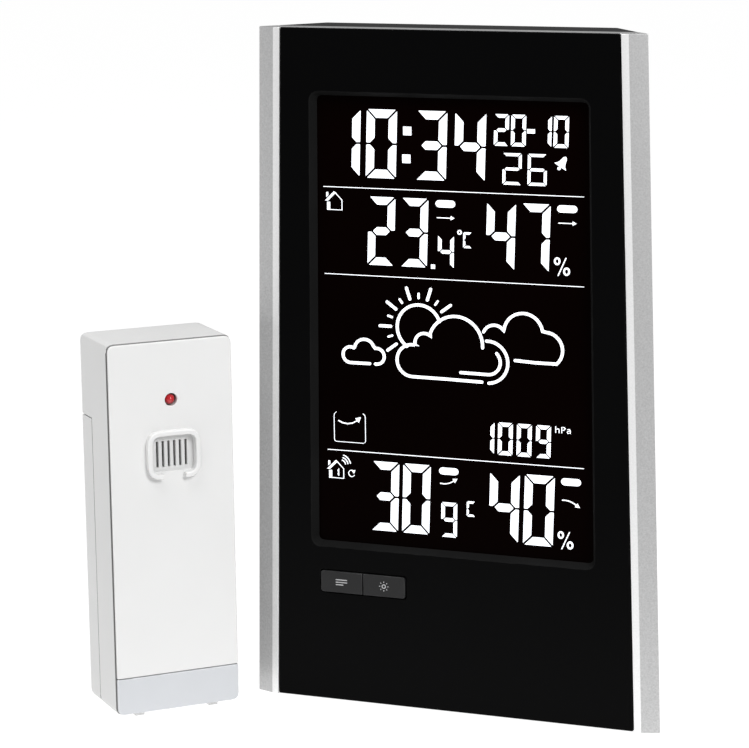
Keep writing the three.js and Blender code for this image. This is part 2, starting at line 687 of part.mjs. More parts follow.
/** A hanging hole: a round entry with a slot rising from it. */
function keyhole(x, z, rise, y0, y1) {
  const half = KEYHOLE_SLOT_WIDTH / 2;
  const slot = roundedOutline(rectanglePoints(x - half, x + half, z, z + rise), half * 0.7);
  return join(barY(KEYHOLE_HEAD_RADIUS, x, z, y0, y1), alongY(slot, y0, y1));
}

function rearKeyPlaces() {
  return REAR_KEY_NAMES.map((name, i) => ({ name, z: REAR_KEY_FIRST_Z + i * REAR_KEY_PITCH }));
}

function rearKeyShape(z, grow) {
  const halfWidth = REAR_KEY_WIDTH / 2 + grow;
  const halfHeight = REAR_KEY_HEIGHT / 2 + grow;
  const points = rectanglePoints(
    REAR_KEY_X - halfWidth,
    REAR_KEY_X + halfWidth,
    z - halfHeight,
    z + halfHeight,
  );
  return roundedOutline(points, REAR_KEY_CORNER);
}

function ventSlots(y0, y1) {
  return Array.from({ length: VENT_COUNT }, (_, i) => {
    const z = VENT_Z + (i - (VENT_COUNT - 1) / 2) * VENT_PITCH;
    return box(
      [VENT_X - VENT_LENGTH / 2, y0, z - VENT_WIDTH / 2],
      [VENT_X + VENT_LENGTH / 2, y1, z + VENT_WIDTH / 2],
    );
  });
}

/** One hole in the middle and a ring of them round it. */
function soundHoles(y0, y1) {
  const hole = (x, z) => barY(SOUND_HOLE_RADIUS, BUZZER_X + x, BUZZER_Z + z, y0, y1, 8);
  const ring = Array.from({ length: SOUND_HOLE_COUNT }, (_, i) => {
    const angle = (2 * Math.PI * i) / SOUND_HOLE_COUNT;
    return hole(SOUND_HOLE_RING * Math.cos(angle), SOUND_HOLE_RING * Math.sin(angle));
  });
  return [hole(0, 0), ...ring];
}

function backOpenings() {
  const y0 = BACK_INNER - PAST;
  const y1 = UNIT_DEPTH + PAST;
  const keys = rearKeyPlaces().map(({ z }) => alongY(rearKeyShape(z, GAP), y0, y1));
  const hanger = keyhole(0, KEYHOLE_Z, KEYHOLE_SLOT_RISE, y0, y1);
  return join(hanger, ...keys, ...ventSlots(y0, y1), ...soundHoles(y0, y1));
}

function rearCase() {
  const outer = caseOuter();
  const shell = cut(outer, caseInner());
  const filled = join(shell, caseStock().intersect(outer));
  const body = cut(filled, doorRecess(), standRecess(), screwSeats(), backOpenings());
  return piece('rear_case', body, 'mattBlack');
}

function batteryDoor() {
  const corners = rectanglePoints(-DOOR_HALF, DOOR_HALF, DOOR_BOTTOM, DOOR_TOP);
  const plate = alongY(roundedOutline(corners, DOOR_CORNER), BACK_INNER + GAP, UNIT_DEPTH);
  const gripTop = DOOR_TOP - DOOR_GRIP_BELOW_TOP;
  const grip = box(
    [-DOOR_GRIP_HALF_WIDTH, UNIT_DEPTH - DOOR_GRIP_DEPTH, gripTop - DOOR_GRIP_HEIGHT],
    [DOOR_GRIP_HALF_WIDTH, UNIT_DEPTH + PAST, gripTop],
  );
  return piece('battery_door', cut(plate, grip), 'mattBlack');
}

// ---- Display unit: keys and their switches ---------------------------------

/** A push switch of a kind, with its button facing along Y in the given direction. */
function pushSwitch(kind, x, z, baseY, direction) {
  const bodyEnd = baseY + direction * kind.body;
  const [bodyFront, bodyBack] = rising(baseY, bodyEnd);
  const [buttonFront, buttonBack] = rising(bodyEnd - direction * FUSE, bodyEnd + direction * kind.button);
  const half = kind.size / 2;
  const body = box([x - half, bodyFront, z - half], [x + half, bodyBack, z + half]);
  return join(body, barY(kind.buttonRadius, x, z, buttonFront, buttonBack, 16));
}

const KEY_BOARD_BACK = BAY_FLOOR - BAY_WALL - GAP;
const KEY_BOARD_FRONT = KEY_BOARD_BACK - KEY_BOARD_THICKNESS;
const FRONT_SWITCH_BASE = KEY_BOARD_FRONT - GAP;
const FRONT_SWITCH_TIP = FRONT_SWITCH_BASE - FRONT_SWITCH.body - FRONT_SWITCH.button;

/** The two front keys sit side by side; outer is -1 for the left key and 1 for the right. */
function frontKey(name, outer) {
  const middle = FRONT_KEY_LEFT + FRONT_KEY_WIDTH + GAP / 2;
  const innerX = middle + (outer * GAP) / 2;
  const outerX = innerX + outer * FRONT_KEY_WIDTH;
  const [x0, x1] = rising(innerX, outerX);
  const z0 = FRONT_KEY_BOTTOM;
  const z1 = FRONT_KEY_BOTTOM + FRONT_KEY_HEIGHT;
  const capBack = PANEL_THICKNESS + 2 * GAP;
  // Only the outer corners are rounded, so the cap is the outer half of a piece twice as wide
  const [wide0, wide1] = rising(outerX, outerX - 2 * outer * FRONT_KEY_WIDTH);
  const rounded = roundedOutline(rectanglePoints(wide0, wide1, z0, z1), FRONT_KEY_CORNER);
  const half = box([x0, -FRONT_KEY_PROUD, z0], [x1, capBack, z1]);
  const cap = half.intersect(alongY(rounded, -FRONT_KEY_PROUD, capBack));
  const [flange0, flange1] = rising(innerX, outerX + outer * KEY_FLANGE);
  const flangeFront = PANEL_THICKNESS + GAP;
  const flange = box(
    [flange0, flangeFront, z0 - KEY_FLANGE],
    [flange1, flangeFront + KEY_FLANGE_THICKNESS, z1 + KEY_FLANGE],
  );
  const centreX = (x0 + x1) / 2;
  const centreZ = (z0 + z1) / 2;
  const stemEnd = FRONT_SWITCH_TIP - KEY_TRAVEL - GAP;
  const stem = barY(FRONT_KEY_STEM_RADIUS, centreX, centreZ, flangeFront, stemEnd, 16);
  return { mesh: piece(name, join(cap, flange, stem), 'keyGrey'), centreX, centreZ };
}

function frontKeys() {
  const left = frontKey('left_front_key', -1);
  const right = frontKey('right_front_key', 1);
  const switches = [['left_key_switch', left], ['right_key_switch', right]].map(([name, key]) => {
    const body = pushSwitch(FRONT_SWITCH, key.centreX, key.centreZ, FRONT_SWITCH_BASE, -1);
    return piece(name, body, 'chip');
  });
  const opening = frontKeyOpening();
  const board = box(
    [opening.left - KEY_BOARD_MARGIN, KEY_BOARD_FRONT, opening.bottom - KEY_BOARD_MARGIN],
    [opening.right + KEY_BOARD_MARGIN, KEY_BOARD_BACK, opening.top + KEY_BOARD_MARGIN],
  );
  return [left.mesh, right.mesh, ...switches, piece('front_key_board', board, 'board')];
}

function rearKeys() {
  return rearKeyPlaces().flatMap(({ name, z }) => {
    const flangeBack = BACK_INNER - GAP;
    const flangeFront = flangeBack - REAR_KEY_FLANGE;
    const cap = alongY(rearKeyShape(z, 0), flangeFront, UNIT_DEPTH + REAR_KEY_PROUD);
    const flange = alongY(rearKeyShape(z, REAR_KEY_FLANGE), flangeFront, flangeBack);
    const switchTip = CHIP_FRONT + REAR_SWITCH.body + REAR_SWITCH.button;
    const stemFront = switchTip + KEY_TRAVEL + GAP;
    const stem = barY(REAR_KEY_STEM_RADIUS, REAR_KEY_X, z, stemFront, flangeBack, 16);
    return [
      piece(`rear_key_${name}`, join(cap, flange, stem), 'rubber'),
      piece(`rear_key_switch_${name}`, pushSwitch(REAR_SWITCH, REAR_KEY_X, z, CHIP_FRONT, 1), 'chip'),
    ];
  });
}

// ---- Display unit: the display stack and the main board --------------------

function displayStack() {
  const glass = box(
    [-GLASS_HALF, GLASS_FRONT, GLASS_BOTTOM],
    [GLASS_HALF, GLASS_BACK, GLASS_TOP],
  );
  const light = box(
    [-GLASS_HALF, LIGHT_FRONT, STACK_BOTTOM],
    [GLASS_HALF, LIGHT_BACK, GLASS_TOP],
  );
  const plate = box(
    [-GLASS_HALF, HOLDER_FRONT, STACK_BOTTOM],
    [GLASS_HALF, HOLDER_BACK, GLASS_TOP],
  );
  const standoffZs = [STACK_BOTTOM + STANDOFF_IN_FROM_END, BOARD_TOP - STANDOFF_IN_FROM_END];
  const standoffs = [-1, 1].flatMap((side) => standoffZs.map((z) => {
    const x = side * (BOARD_HALF_WIDTH - STANDOFF_IN_FROM_SIDE);
    return barY(STANDOFF_RADIUS, x, z, HOLDER_FRONT, HOLDER_BACK + STANDOFF_HEIGHT);
  }));
  const strip = box(
    [GAP - BOARD_HALF_WIDTH, GLASS_BACK + GAP, STRIP_BOTTOM],
    [BOARD_HALF_WIDTH - GAP, BOARD_FRONT - GAP, STRIP_BOTTOM + STRIP_HEIGHT],
  );
  return [
    piece('display_glass', glass, 'displayGlass'),
    piece('display_backlight', light, 'lightGuide'),
    piece('display_holder', join(plate, ...standoffs), 'whitePlastic'),
    piece('display_connector_strip', strip, 'rubber'),
  ];
}

/** A box-shaped component standing on a board's back face. */
function component(face, { x, z, width, height, depth }) {
  return box(
    [x - width / 2, face, z - height / 2],
    [x + width / 2, face + depth, z + height / 2],
  );
}

/** A wire coil standing up along Z, just off a board's back face. */
function antennaCoil(face, { x, z, radius, length, turns }) {
  const geometry = coilGeometry(ANTENNA_WIRE, radius, radius, length, turns);
  return solid(geometry.rotateX(Math.PI / 2).translate(x, face + radius + ANTENNA_WIRE, z));
}

function mainBoard() {
  const board = box(
    [-BOARD_HALF_WIDTH, BOARD_FRONT, GLASS_BOTTOM],
    [BOARD_HALF_WIDTH, BOARD_BACK, BOARD_TOP],
  );
  const crystalY = CHIP_FRONT + CRYSTAL.radius;
  const crystalTop = CRYSTAL.z + CRYSTAL.length;
  const crystal = barZ(CRYSTAL.radius, CRYSTAL.x, crystalY, CRYSTAL.z, crystalTop, 12);
  const climate = { x: VENT_X, z: VENT_Z, width: 8, height: 10, depth: 4 };
  const buzzer = barY(BUZZER_RADIUS, BUZZER_X, BUZZER_Z, CHIP_FRONT, CHIP_FRONT + BUZZER_DEPTH);
  return [
    piece('main_board', board, 'board'),
    piece('controller_chip', component(CHIP_FRONT, CONTROLLER), 'chip'),
    piece('quartz_crystal', crystal, 'nickel'),
    piece('pressure_sensor', component(CHIP_FRONT, PRESSURE_SENSOR), 'nickel'),
    piece('climate_sensor', component(CHIP_FRONT, climate), 'whitePlastic'),
    piece('receiver_module', component(CHIP_FRONT, RECEIVER), 'board'),
    piece('receiver_antenna', antennaCoil(CHIP_FRONT, RECEIVER_ANTENNA), 'copper'),
    piece('alarm_buzzer', buzzer, 'chip'),
  ];
}

// ---- Cells and their contacts ----------------------------------------------

/** A round cell standing on Y with its nub at the top, its base at the origin. */
function cellGeometry(radius, length) {
  const shoulder = length - CELL_NUB_HEIGHT;
  const nubRadius = radius * NUB_SHARE;
  return turned([
    [0, 0],
    [radius - CELL_RIM, 0],
    [radius, CELL_RIM],
    [radius, shoulder - CELL_RIM],
    [radius - CELL_RIM, shoulder],
    [nubRadius, shoulder],
    [nubRadius, length],
    [0, length],
  ]);
}

/** A spring standing on Y, from a wide first turn on its plate to a narrow last one. */
function springGeometry(cellRadius) {
  const wide = cellRadius * SPRING_WIDE_SHARE;
  const narrow = cellRadius * SPRING_NARROW_SHARE;
  return coilGeometry(SPRING_WIRE, wide, narrow, SPRING_LENGTH - 2 * SPRING_WIRE, SPRING_TURNS);
}

/**
 * A contact plate across one end of the bay. Places are across the cells; a spring or a stud
 * reaches from the plate along +Y before the turn that puts it in the bay.
 */
function contactSolid(places, cellRadius, turn) {
  const reach = cellRadius * PLATE_SHARE;
  const first = places[0].at - reach;
  const last = places[places.length - 1].at + reach;
  const plate = boxGeometry([first, 0, -reach], [last, CONTACT_THICKNESS, reach]);
  const ends = places.map(({ at, kind }) => {
    if (kind === 'spring') {
      return springGeometry(cellRadius).translate(at, CONTACT_THICKNESS, 0);
    }
    const radius = cellRadius * STUD_SHARE;
    const stud = new THREE.CylinderGeometry(radius, radius, STUD_HEIGHT + FUSE, 12);
    return stud.translate(at, CONTACT_THICKNESS + (STUD_HEIGHT - FUSE) / 2, 0);
  });
  return join(...[plate, ...ends].map((geometry) => solid(geometry.applyMatrix4(turn))));
}

/** Lays contacts at the two ends of the display's bay: +Y becomes inward, across becomes Z. */
function bayTurn(side) {
  const turn = new THREE.Matrix4().makeBasis(
    new THREE.Vector3(0, 0, 1),
    new THREE.Vector3(-side, 0, 0),
    new THREE.Vector3(0, -side, 0),
  );
  return turn.setPosition(side * (BAY_HALF - GAP), CELL_Y, 0);
}

function displayCells() {
  const [low, middle, high] = CELL_ZS;
  const cells = CELL_ZS.map((z, i) => {
    const nubSide = i % 2 === 0 ? 1 : -1;
    const geometry = cellGeometry(AAA_RADIUS, AAA_LENGTH);
    geometry.translate(0, -AAA_LENGTH / 2, 0).rotateZ((-nubSide * Math.PI) / 2);
    const shift = nubSide * ((SPRING_LENGTH - STUD_HEIGHT) / 2);
    const mesh = piece(`battery_${i + 1}`, solid(geometry), 'cell');
    mesh.position.set(shift, CELL_Y, z);
    return mesh;
  });
  const contacts = [
    ['battery_contact_minus', -1, [{ at: low, kind: 'spring' }]],
    ['battery_contact_left_bridge', -1, [{ at: middle, kind: 'stud' }, { at: high, kind: 'spring' }]],
    ['battery_contact_right_bridge', 1, [{ at: low, kind: 'stud' }, { at: middle, kind: 'spring' }]],
    ['battery_contact_plus', 1, [{ at: high, kind: 'stud' }]],
  ].map(([name, side, places]) => {
    return piece(name, contactSolid(places, AAA_RADIUS, bayTurn(side)), 'nickel');
  });
  return [...cells, ...contacts];
}

// ---- Display unit: the stand and the screws --------------------------------

function standBail() {
  const armFront = STAND_PIVOT_Y;
  const armBack = STAND_PIVOT_Y + STAND_LENGTH;
  const arms = [-1, 1].map((side) => {
    const [x0, x1] = rising(side * STAND_INNER, side * STAND_OUTER);
    const bar = box([x0, armFront, 0], [x1, armBack, STAND_THICKNESS]);
    const eye = barX(STAND_EYE_RADIUS, STAND_PIVOT_Y, STAND_PIVOT_Z, x0, x1);
    const [pin0, pin1] = rising(side * (STAND_OUTER - FUSE), side * (STAND_OUTER + STAND_PIN_LENGTH));
    return join(bar, eye, barX(STAND_PIN_RADIUS, STAND_PIVOT_Y, STAND_PIVOT_Z, pin0, pin1));
  });
  const cross = box(
    [-STAND_OUTER, STAND_PIVOT_Y + STAND_BAR_START, 0],
    [STAND_OUTER, armBack, STAND_THICKNESS],
  );
  return piece('stand_bail', join(arms[0], arms[1], cross), 'mattBlack');
}

/** A self-tapping screw along Y with its head at the +Y end, its tip at the origin. */
function screwGeometry(shankRadius, shankLength, headRadius, headHeight) {
  return turned([
    [0, 0],
    [shankRadius, 2 * shankRadius],
    [shankRadius, shankLength],
    [headRadius, shankLength],
    [headRadius, shankLength + headHeight * 0.6],
    [headRadius * 0.7, shankLength + headHeight],
    [0, shankLength + headHeight],
  ], 16);
}

function caseScrews() {
  const tipY = WEB_BACK + 2 * GAP;
  const shankLength = SCREW_SEAT_Y + GAP - tipY;
  return SCREW_PLACES.map(([x, z], i) => {
    const body = screwGeometry(SCREW_SHANK_RADIUS, shankLength, SCREW_HEAD_RADIUS, SCREW_HEAD_HEIGHT);
    const mesh = piece(`case_screw_${i + 1}`, solid(body), 'steel');
    mesh.position.set(x, tipY, z);
    return mesh;
  });
}

function displayUnit() {
  const unit = new THREE.Group();
  unit.add(frontFrame(), frontPanel(), ...frontKeys(), ...displayStack(), ...mainBoard());
  unit.add(rearCase(), batteryDoor(), ...displayCells(), ...rearKeys(), standBail(), ...caseScrews());
  return unit;
}

// ---- Outdoor sensor --------------------------------------------------------
// Its own axes: X to the right seen from its front, Y from front to back about its middle.

const SENSOR_FRONT = -SENSOR_DEPTH / 2;
const SENSOR_BACK = SENSOR_DEPTH / 2;
const SENSOR_HALF = SENSOR_WIDTH / 2;
const COVER_BACK = SENSOR_FRONT + COVER_THICKNESS;
const LIP_BACK = SENSOR_FRONT + COVER_LIP;
const SHELL_FRONT = LIP_BACK + GAP;
const TRIM_TOP = FOOT_HEIGHT + COVER_INSET + TRIM_HEIGHT;
const DOOR_FRONT = SENSOR_BACK - SENSOR_DOOR_DEPTH;
const SHELL_LOW_BACK = DOOR_FRONT - GAP;
const SENSOR_CELL_Y = SENSOR_BACK - SENSOR_WALL - GAP - AA_RADIUS;
const SENSOR_BAY_FLOOR = SENSOR_CELL_Y - AA_RADIUS - 2 * GAP;
const SENSOR_BAY_BOTTOM = FOOT_HEIGHT + SENSOR_WALL;
const SENSOR_BAY_TOP = SENSOR_BAY_BOTTOM + GAP + CONTACT_THICKNESS + SPRING_LENGTH + GAP
  + AA_LENGTH + GAP + STUD_HEIGHT + CONTACT_THICKNESS + GAP;
const SENSOR_INNER_HALF = SENSOR_HALF - SENSOR_WALL;
const SENSOR_INNER_TOP = SENSOR_HEIGHT - SENSOR_WALL;
const SENSOR_CELL_X = AA_RADIUS + GAP;
const SENSOR_BOARD_BOTTOM = SENSOR_BAY_TOP + BAY_WALL + GAP;
const SENSOR_BOARD_FRONT = COVER_BACK + SENSOR_BOARD_STANDS_OFF;
const SENSOR_BOARD_BACK = SENSOR_BOARD_FRONT + BOARD_THICKNESS;
const SENSOR_CHIP_FRONT = SENSOR_BOARD_BACK + GAP;
const SWITCH_BACK = SHELL_LOW_BACK - BAY_WALL - GAP;

/** The sensor's outline seen from the front, brought in all round by inset. */
function sensorOutline(inset, bottom = FOOT_HEIGHT, top = SENSOR_HEIGHT) {
  const points = rectanglePoints(
    inset - SENSOR_HALF,
    SENSOR_HALF - inset,
    bottom + inset,
    top - inset,
  );
  return roundedOutline(points, SENSOR_CORNER - inset);
}

/** The raised hood round the sensor's slots: a rounded ring open at its bottom middle. */
function ventHood() {
  const y0 = SENSOR_FRONT - HOOD_HEIGHT;
  const y1 = COVER_BACK - 2 * GAP;
  const ringOutline = (inset) => {
    const half = HOOD_HALF_WIDTH - inset;
    const corners = rectanglePoints(-half, half, HOOD_BOTTOM + inset, HOOD_TOP - inset);
    return roundedOutline(corners, HOOD_CORNER - inset);
  };
  const hole = alongY(ringOutline(HOOD_WALL), y0 - PAST, y1 + PAST);
  const mouth = box(
    [-HOOD_MOUTH_HALF, y0 - PAST, HOOD_BOTTOM - PAST],
    [HOOD_MOUTH_HALF, y1 + PAST, HOOD_BOTTOM + 2 * HOOD_WALL],
  );
  return cut(alongY(ringOutline(0), y0, y1), hole, mouth);
}

/** The shallow recess round the slots, as wide as the hood inside. */
function slotRecess() {
  const half = HOOD_HALF_WIDTH - HOOD_WALL;
  const bottom = SLOT_BOTTOM - SLOT_RECESS_MARGIN;
  const floor = roundedOutline(rectanglePoints(-half, half, bottom, HOOD_TOP), SLOT_RECESS_CORNER);
  const inside = roundedOutline(
    rectanglePoints(-half, half, HOOD_BOTTOM + HOOD_WALL, HOOD_TOP - HOOD_WALL),
    HOOD_CORNER - HOOD_WALL,
  );
  const y0 = SENSOR_FRONT - PAST;
  const y1 = SENSOR_FRONT + SLOT_RECESS_DEPTH;
  return alongY(floor, y0, y1).intersect(alongY(inside, y0, y1));
}

function sensorSlots() {
  return Array.from({ length: SLOT_COUNT }, (_, i) => {
    const x = (i - (SLOT_COUNT - 1) / 2) * SLOT_PITCH;
    return box(
      [x - SLOT_WIDTH / 2, SENSOR_FRONT - PAST, SLOT_BOTTOM],
      [x + SLOT_WIDTH / 2, COVER_BACK + PAST, SLOT_TOP],
    );
  });
}

function sensorFrontCover() {
  const lip = alongY(sensorOutline(COVER_INSET), SENSOR_FRONT, LIP_BACK);
  const plate = box(
    [GAP - SENSOR_INNER_HALF, SENSOR_FRONT + FUSE, SENSOR_BAY_BOTTOM + GAP],
    [SENSOR_INNER_HALF - GAP, COVER_BACK, SENSOR_INNER_TOP - GAP],
  );
  const trimRoom = box(
    [-SENSOR_WIDTH, SENSOR_FRONT - PAST, 0],
    [SENSOR_WIDTH, SENSOR_FRONT + TRIM_THICKNESS + GAP, TRIM_TOP + GAP],
  );
  const bossRadius = SENSOR_SCREW_SHANK_RADIUS + SENSOR_BOSS_WALL;
  const bossBack = SENSOR_BAY_FLOOR - BAY_WALL - GAP;
  const bosses = SENSOR_SCREW_ZS.map((z) => barY(bossRadius, 0, z, COVER_BACK - FUSE, bossBack));
  const threadRadius = SENSOR_SCREW_SHANK_RADIUS + SCREW_PLAY;
  const threadFront = SENSOR_FRONT + TRIM_THICKNESS;
  const threads = SENSOR_SCREW_ZS.map((z) => barY(threadRadius, 0, z, threadFront, SENSOR_BAY_FLOOR));
  const ledHole = barY(LED_RADIUS + GAP, 0, LED_Z, SENSOR_FRONT - PAST, COVER_BACK + PAST);
  const dimple = turned([
    [0, 0],
    [LED_DIMPLE_RADIUS - DIMPLE_DEPTH, 0],
    [LED_DIMPLE_RADIUS, 2 * DIMPLE_DEPTH],
    [0, 2 * DIMPLE_DEPTH],
  ]);
  dimple.rotateX(Math.PI).translate(0, SENSOR_FRONT + DIMPLE_DEPTH, LED_Z);
  const body = cut(
    join(lip, plate, ventHood(), ...bosses),
    trimRoom,
    ledHole,
    solid(dimple),
    slotRecess(),
    ...sensorSlots(),
    ...threads,
  );
  return piece('sensor_front_cover', body, 'whitePlastic');
}

function sensorTrimPlate() {
  const plate = alongY(sensorOutline(COVER_INSET), SENSOR_FRONT, SENSOR_FRONT + TRIM_THICKNESS);
  const below = box([-SENSOR_WIDTH, SENSOR_FRONT - PAST, 0], [SENSOR_WIDTH, 0, TRIM_TOP]);
  return piece('sensor_trim_plate', plate.intersect(below), 'trimSilver');
}

function sensorFeet(y0, y1) {
  return [-1, 1].map((side) => {
    const x = side * FOOT_X;
    return box([x - FOOT_WIDTH / 2, y0, 0], [x + FOOT_WIDTH / 2, y1, FOOT_HEIGHT + GAP]);
  });
}

function sensorShell() {
  const outer = alongY(sensorOutline(0), SHELL_FRONT, SENSOR_BACK);
  const doorRoom = box(
    [-SENSOR_WIDTH, SHELL_LOW_BACK, -PAST],
    [SENSOR_WIDTH, SENSOR_BACK + PAST, SENSOR_DOOR_TOP + GAP],
  );
  const half = SENSOR_INNER_HALF;
  const front = SHELL_FRONT - PAST;
  const circuitRoom = box(
    [-half, front, SENSOR_BAY_TOP + BAY_WALL],
    [half, SHELL_LOW_BACK - BAY_WALL, SENSOR_INNER_TOP],
  );
  const topRoom = box(
    [-half, front, SENSOR_DOOR_TOP + GAP + SENSOR_WALL],
    [half, SENSOR_BACK - SENSOR_WALL, SENSOR_INNER_TOP],
  );
  const bay = box(
    [-half, SENSOR_BAY_FLOOR, SENSOR_BAY_BOTTOM],
    [half, SHELL_LOW_BACK + PAST, SENSOR_BAY_TOP],
  );
  const frontRoom = box(
    [-half, front, SENSOR_BAY_BOTTOM],
    [half, SENSOR_BAY_FLOOR - BAY_WALL, SENSOR_BAY_TOP],
  );
  const coverRoom = box(
    [-half, front, SENSOR_BAY_BOTTOM],
    [half, COVER_BACK + GAP, SENSOR_INNER_TOP],
  );
  const switchWindow = box(
    [SWITCH_X - SWITCH_WINDOW_HALF_WIDTH, SWITCH_BACK, SWITCH_Z - SWITCH_WINDOW_HALF_HEIGHT],
    [SWITCH_X + SWITCH_WINDOW_HALF_WIDTH, SHELL_LOW_BACK + PAST, SWITCH_Z + SWITCH_WINDOW_HALF_HEIGHT],
  );
  const holeRadius = SENSOR_SCREW_SHANK_RADIUS + SCREW_PLAY;
  const screwHoles = SENSOR_SCREW_ZS.map(
    (z) => barY(holeRadius, 0, z, SHELL_FRONT, SENSOR_BAY_FLOOR + PAST),
  );
  const hangerFront = SENSOR_BACK - SENSOR_WALL - PAST;
  const hanger = keyhole(0, SENSOR_KEYHOLE_Z, SENSOR_KEYHOLE_RISE, hangerFront, SENSOR_BACK + PAST);
  const hollow = [circuitRoom, topRoom, bay, frontRoom, coverRoom, switchWindow, hanger, ...screwHoles];
  const shell = cut(outer, doorRoom, ...hollow);
  const feet = sensorFeet(SHELL_FRONT + PAST, SHELL_LOW_BACK);
  return piece('sensor_shell', join(shell, ...feet), 'whitePlastic');
}

function sensorBatteryDoor() {
  const outer = alongY(sensorOutline(0), DOOR_FRONT, SENSOR_BACK);
  const below = box([-SENSOR_WIDTH, DOOR_FRONT, 0], [SENSOR_WIDTH, SENSOR_BACK, SENSOR_DOOR_TOP]);
  const room = box(
    [-SENSOR_INNER_HALF, DOOR_FRONT - PAST, SENSOR_BAY_BOTTOM],
    [SENSOR_INNER_HALF, SENSOR_BACK - SENSOR_WALL, SENSOR_DOOR_TOP - SENSOR_WALL],
  );
  const grips = [0, 1, 2].map((i) => {
    const top = SENSOR_DOOR_TOP - SENSOR_GRIP_BELOW_TOP - i * SENSOR_GRIP_PITCH;
    return box(
      [-SENSOR_GRIP_HALF_WIDTH, SENSOR_BACK - SENSOR_GRIP_DEPTH, top - SENSOR_GRIP_HEIGHT],
      [SENSOR_GRIP_HALF_WIDTH, SENSOR_BACK + PAST, top],
    );
  });
  const lid = cut(outer.intersect(below), room, ...grips);
  const feet = sensorFeet(DOOR_FRONT, SENSOR_BACK - SENSOR_WALL);
  return piece('sensor_battery_door', join(lid, ...feet), 'whitePlastic');
}

/** The lamp: a round body with a domed tip reaching through the front cover. */
function sensorLed() {
  const base = SENSOR_BOARD_FRONT - GAP;
  const length = base - SENSOR_FRONT;
  const dome = Array.from({ length: 4 }, (_, i) => {
    const angle = (i * Math.PI) / 8;
    return [LED_RADIUS * Math.cos(angle), length - LED_RADIUS * (1 - Math.sin(angle))];
  });
  const lamp = turned([[0, 0], [LED_RADIUS, 0], ...dome, [0, length]]);
  return piece('sensor_led', solid(lamp.rotateX(Math.PI).translate(0, base, LED_Z)), 'redLens');
}

/** The temperature and humidity probe, behind the front cover's slots. */
function sensorProbe() {
  const back = SENSOR_BOARD_FRONT - GAP;
  const half = PROBE_SIZE / 2;
  const middleZ = (SLOT_BOTTOM + SLOT_TOP) / 2;
  const body = box([-half, back - PROBE_DEPTH, middleZ - half], [half, back, middleZ + half]);
  return piece('sensor_probe', body, 'whitePlastic');
}

/** The channel switch: a metal body with a slot, and the knob at the left end of it. */
function channelSwitch() {
  const body = box(
    [SWITCH_X - SWITCH_HALF_WIDTH, SENSOR_CHIP_FRONT, SWITCH_Z - SWITCH_HALF_HEIGHT],
    [SWITCH_X + SWITCH_HALF_WIDTH, SWITCH_BACK, SWITCH_Z + SWITCH_HALF_HEIGHT],
  );
  const slotHalfWidth = (KNOB_WIDTH + SWITCH_TRAVEL) / 2 + SWITCH_PLAY;
  const slotHalfHeight = KNOB_HALF_HEIGHT + GAP;
  const slot = box(
    [SWITCH_X - slotHalfWidth, SWITCH_BACK - KNOB_DEPTH - GAP, SWITCH_Z - slotHalfHeight],
    [SWITCH_X + slotHalfWidth, SWITCH_BACK + PAST, SWITCH_Z + slotHalfHeight],
  );
  const knobLeft = SWITCH_X - slotHalfWidth + SWITCH_PLAY;
  const knob = box(
    [knobLeft, SWITCH_BACK - KNOB_DEPTH, SWITCH_Z - KNOB_HALF_HEIGHT],
    [knobLeft + KNOB_WIDTH, SHELL_LOW_BACK + KNOB_PROUD, SWITCH_Z + KNOB_HALF_HEIGHT],
  );
  return [
    piece('sensor_switch_base', cut(body, slot), 'nickel'),
    piece('sensor_channel_switch', knob, 'chip'),
  ];
}

function sensorCircuit() {
  const board = box(
    [GAP - SENSOR_INNER_HALF, SENSOR_BOARD_FRONT, SENSOR_BOARD_BOTTOM],
    [SENSOR_INNER_HALF - GAP, SENSOR_BOARD_BACK, SENSOR_INNER_TOP - GAP],
  );
  return [
    piece('sensor_board', board, 'board'),
    piece('sensor_radio_module', component(SENSOR_CHIP_FRONT, RADIO), 'nickel'),
    piece('sensor_antenna', antennaCoil(SENSOR_CHIP_FRONT, SENSOR_ANTENNA), 'copper'),
    sensorLed(),
    sensorProbe(),
    ...channelSwitch(),
  ];
}

/** Stands contacts at the bottom (1) or top (-1) of the sensor's bay; up is the way they reach. */
function sensorBayTurn(up) {
  const turn = new THREE.Matrix4().makeBasis(
    new THREE.Vector3(1, 0, 0),
    new THREE.Vector3(0, 0, up),
    new THREE.Vector3(0, -up, 0),
  );
  const z = up > 0 ? SENSOR_BAY_BOTTOM + GAP : SENSOR_BAY_TOP - GAP;
  return turn.setPosition(0, SENSOR_CELL_Y, z);
}

function sensorCells() {
  const bottomSpring = SENSOR_BAY_BOTTOM + GAP + CONTACT_THICKNESS + SPRING_LENGTH + GAP;
  const bottomStud = SENSOR_BAY_BOTTOM + GAP + CONTACT_THICKNESS + STUD_HEIGHT + GAP;
  const cells = [
    ['sensor_battery_left', -SENSOR_CELL_X, bottomSpring, 1],
    ['sensor_battery_right', SENSOR_CELL_X, bottomStud + AA_LENGTH, -1],
  ].map(([name, x, z, up]) => {
    const geometry = cellGeometry(AA_RADIUS, AA_LENGTH).rotateX((up * Math.PI) / 2);
    const mesh = piece(name, solid(geometry), 'cell');
    mesh.position.set(x, SENSOR_CELL_Y, z);
    return mesh;
  });
  const left = { at: -SENSOR_CELL_X };
  const right = { at: SENSOR_CELL_X };
  const contacts = [
    ['sensor_contact_bridge', 1, [{ ...left, kind: 'spring' }, { ...right, kind: 'stud' }]],
    ['sensor_contact_plus', -1, [{ ...left, kind: 'stud' }]],
    ['sensor_contact_minus', -1, [{ ...right, kind: 'spring' }]],
  ].map(([name, up, places]) => {
    return piece(name, contactSolid(places, AA_RADIUS * AA_CONTACT_SHARE, sensorBayTurn(up)), 'nickel');
  });
  return [...cells, ...contacts];
}

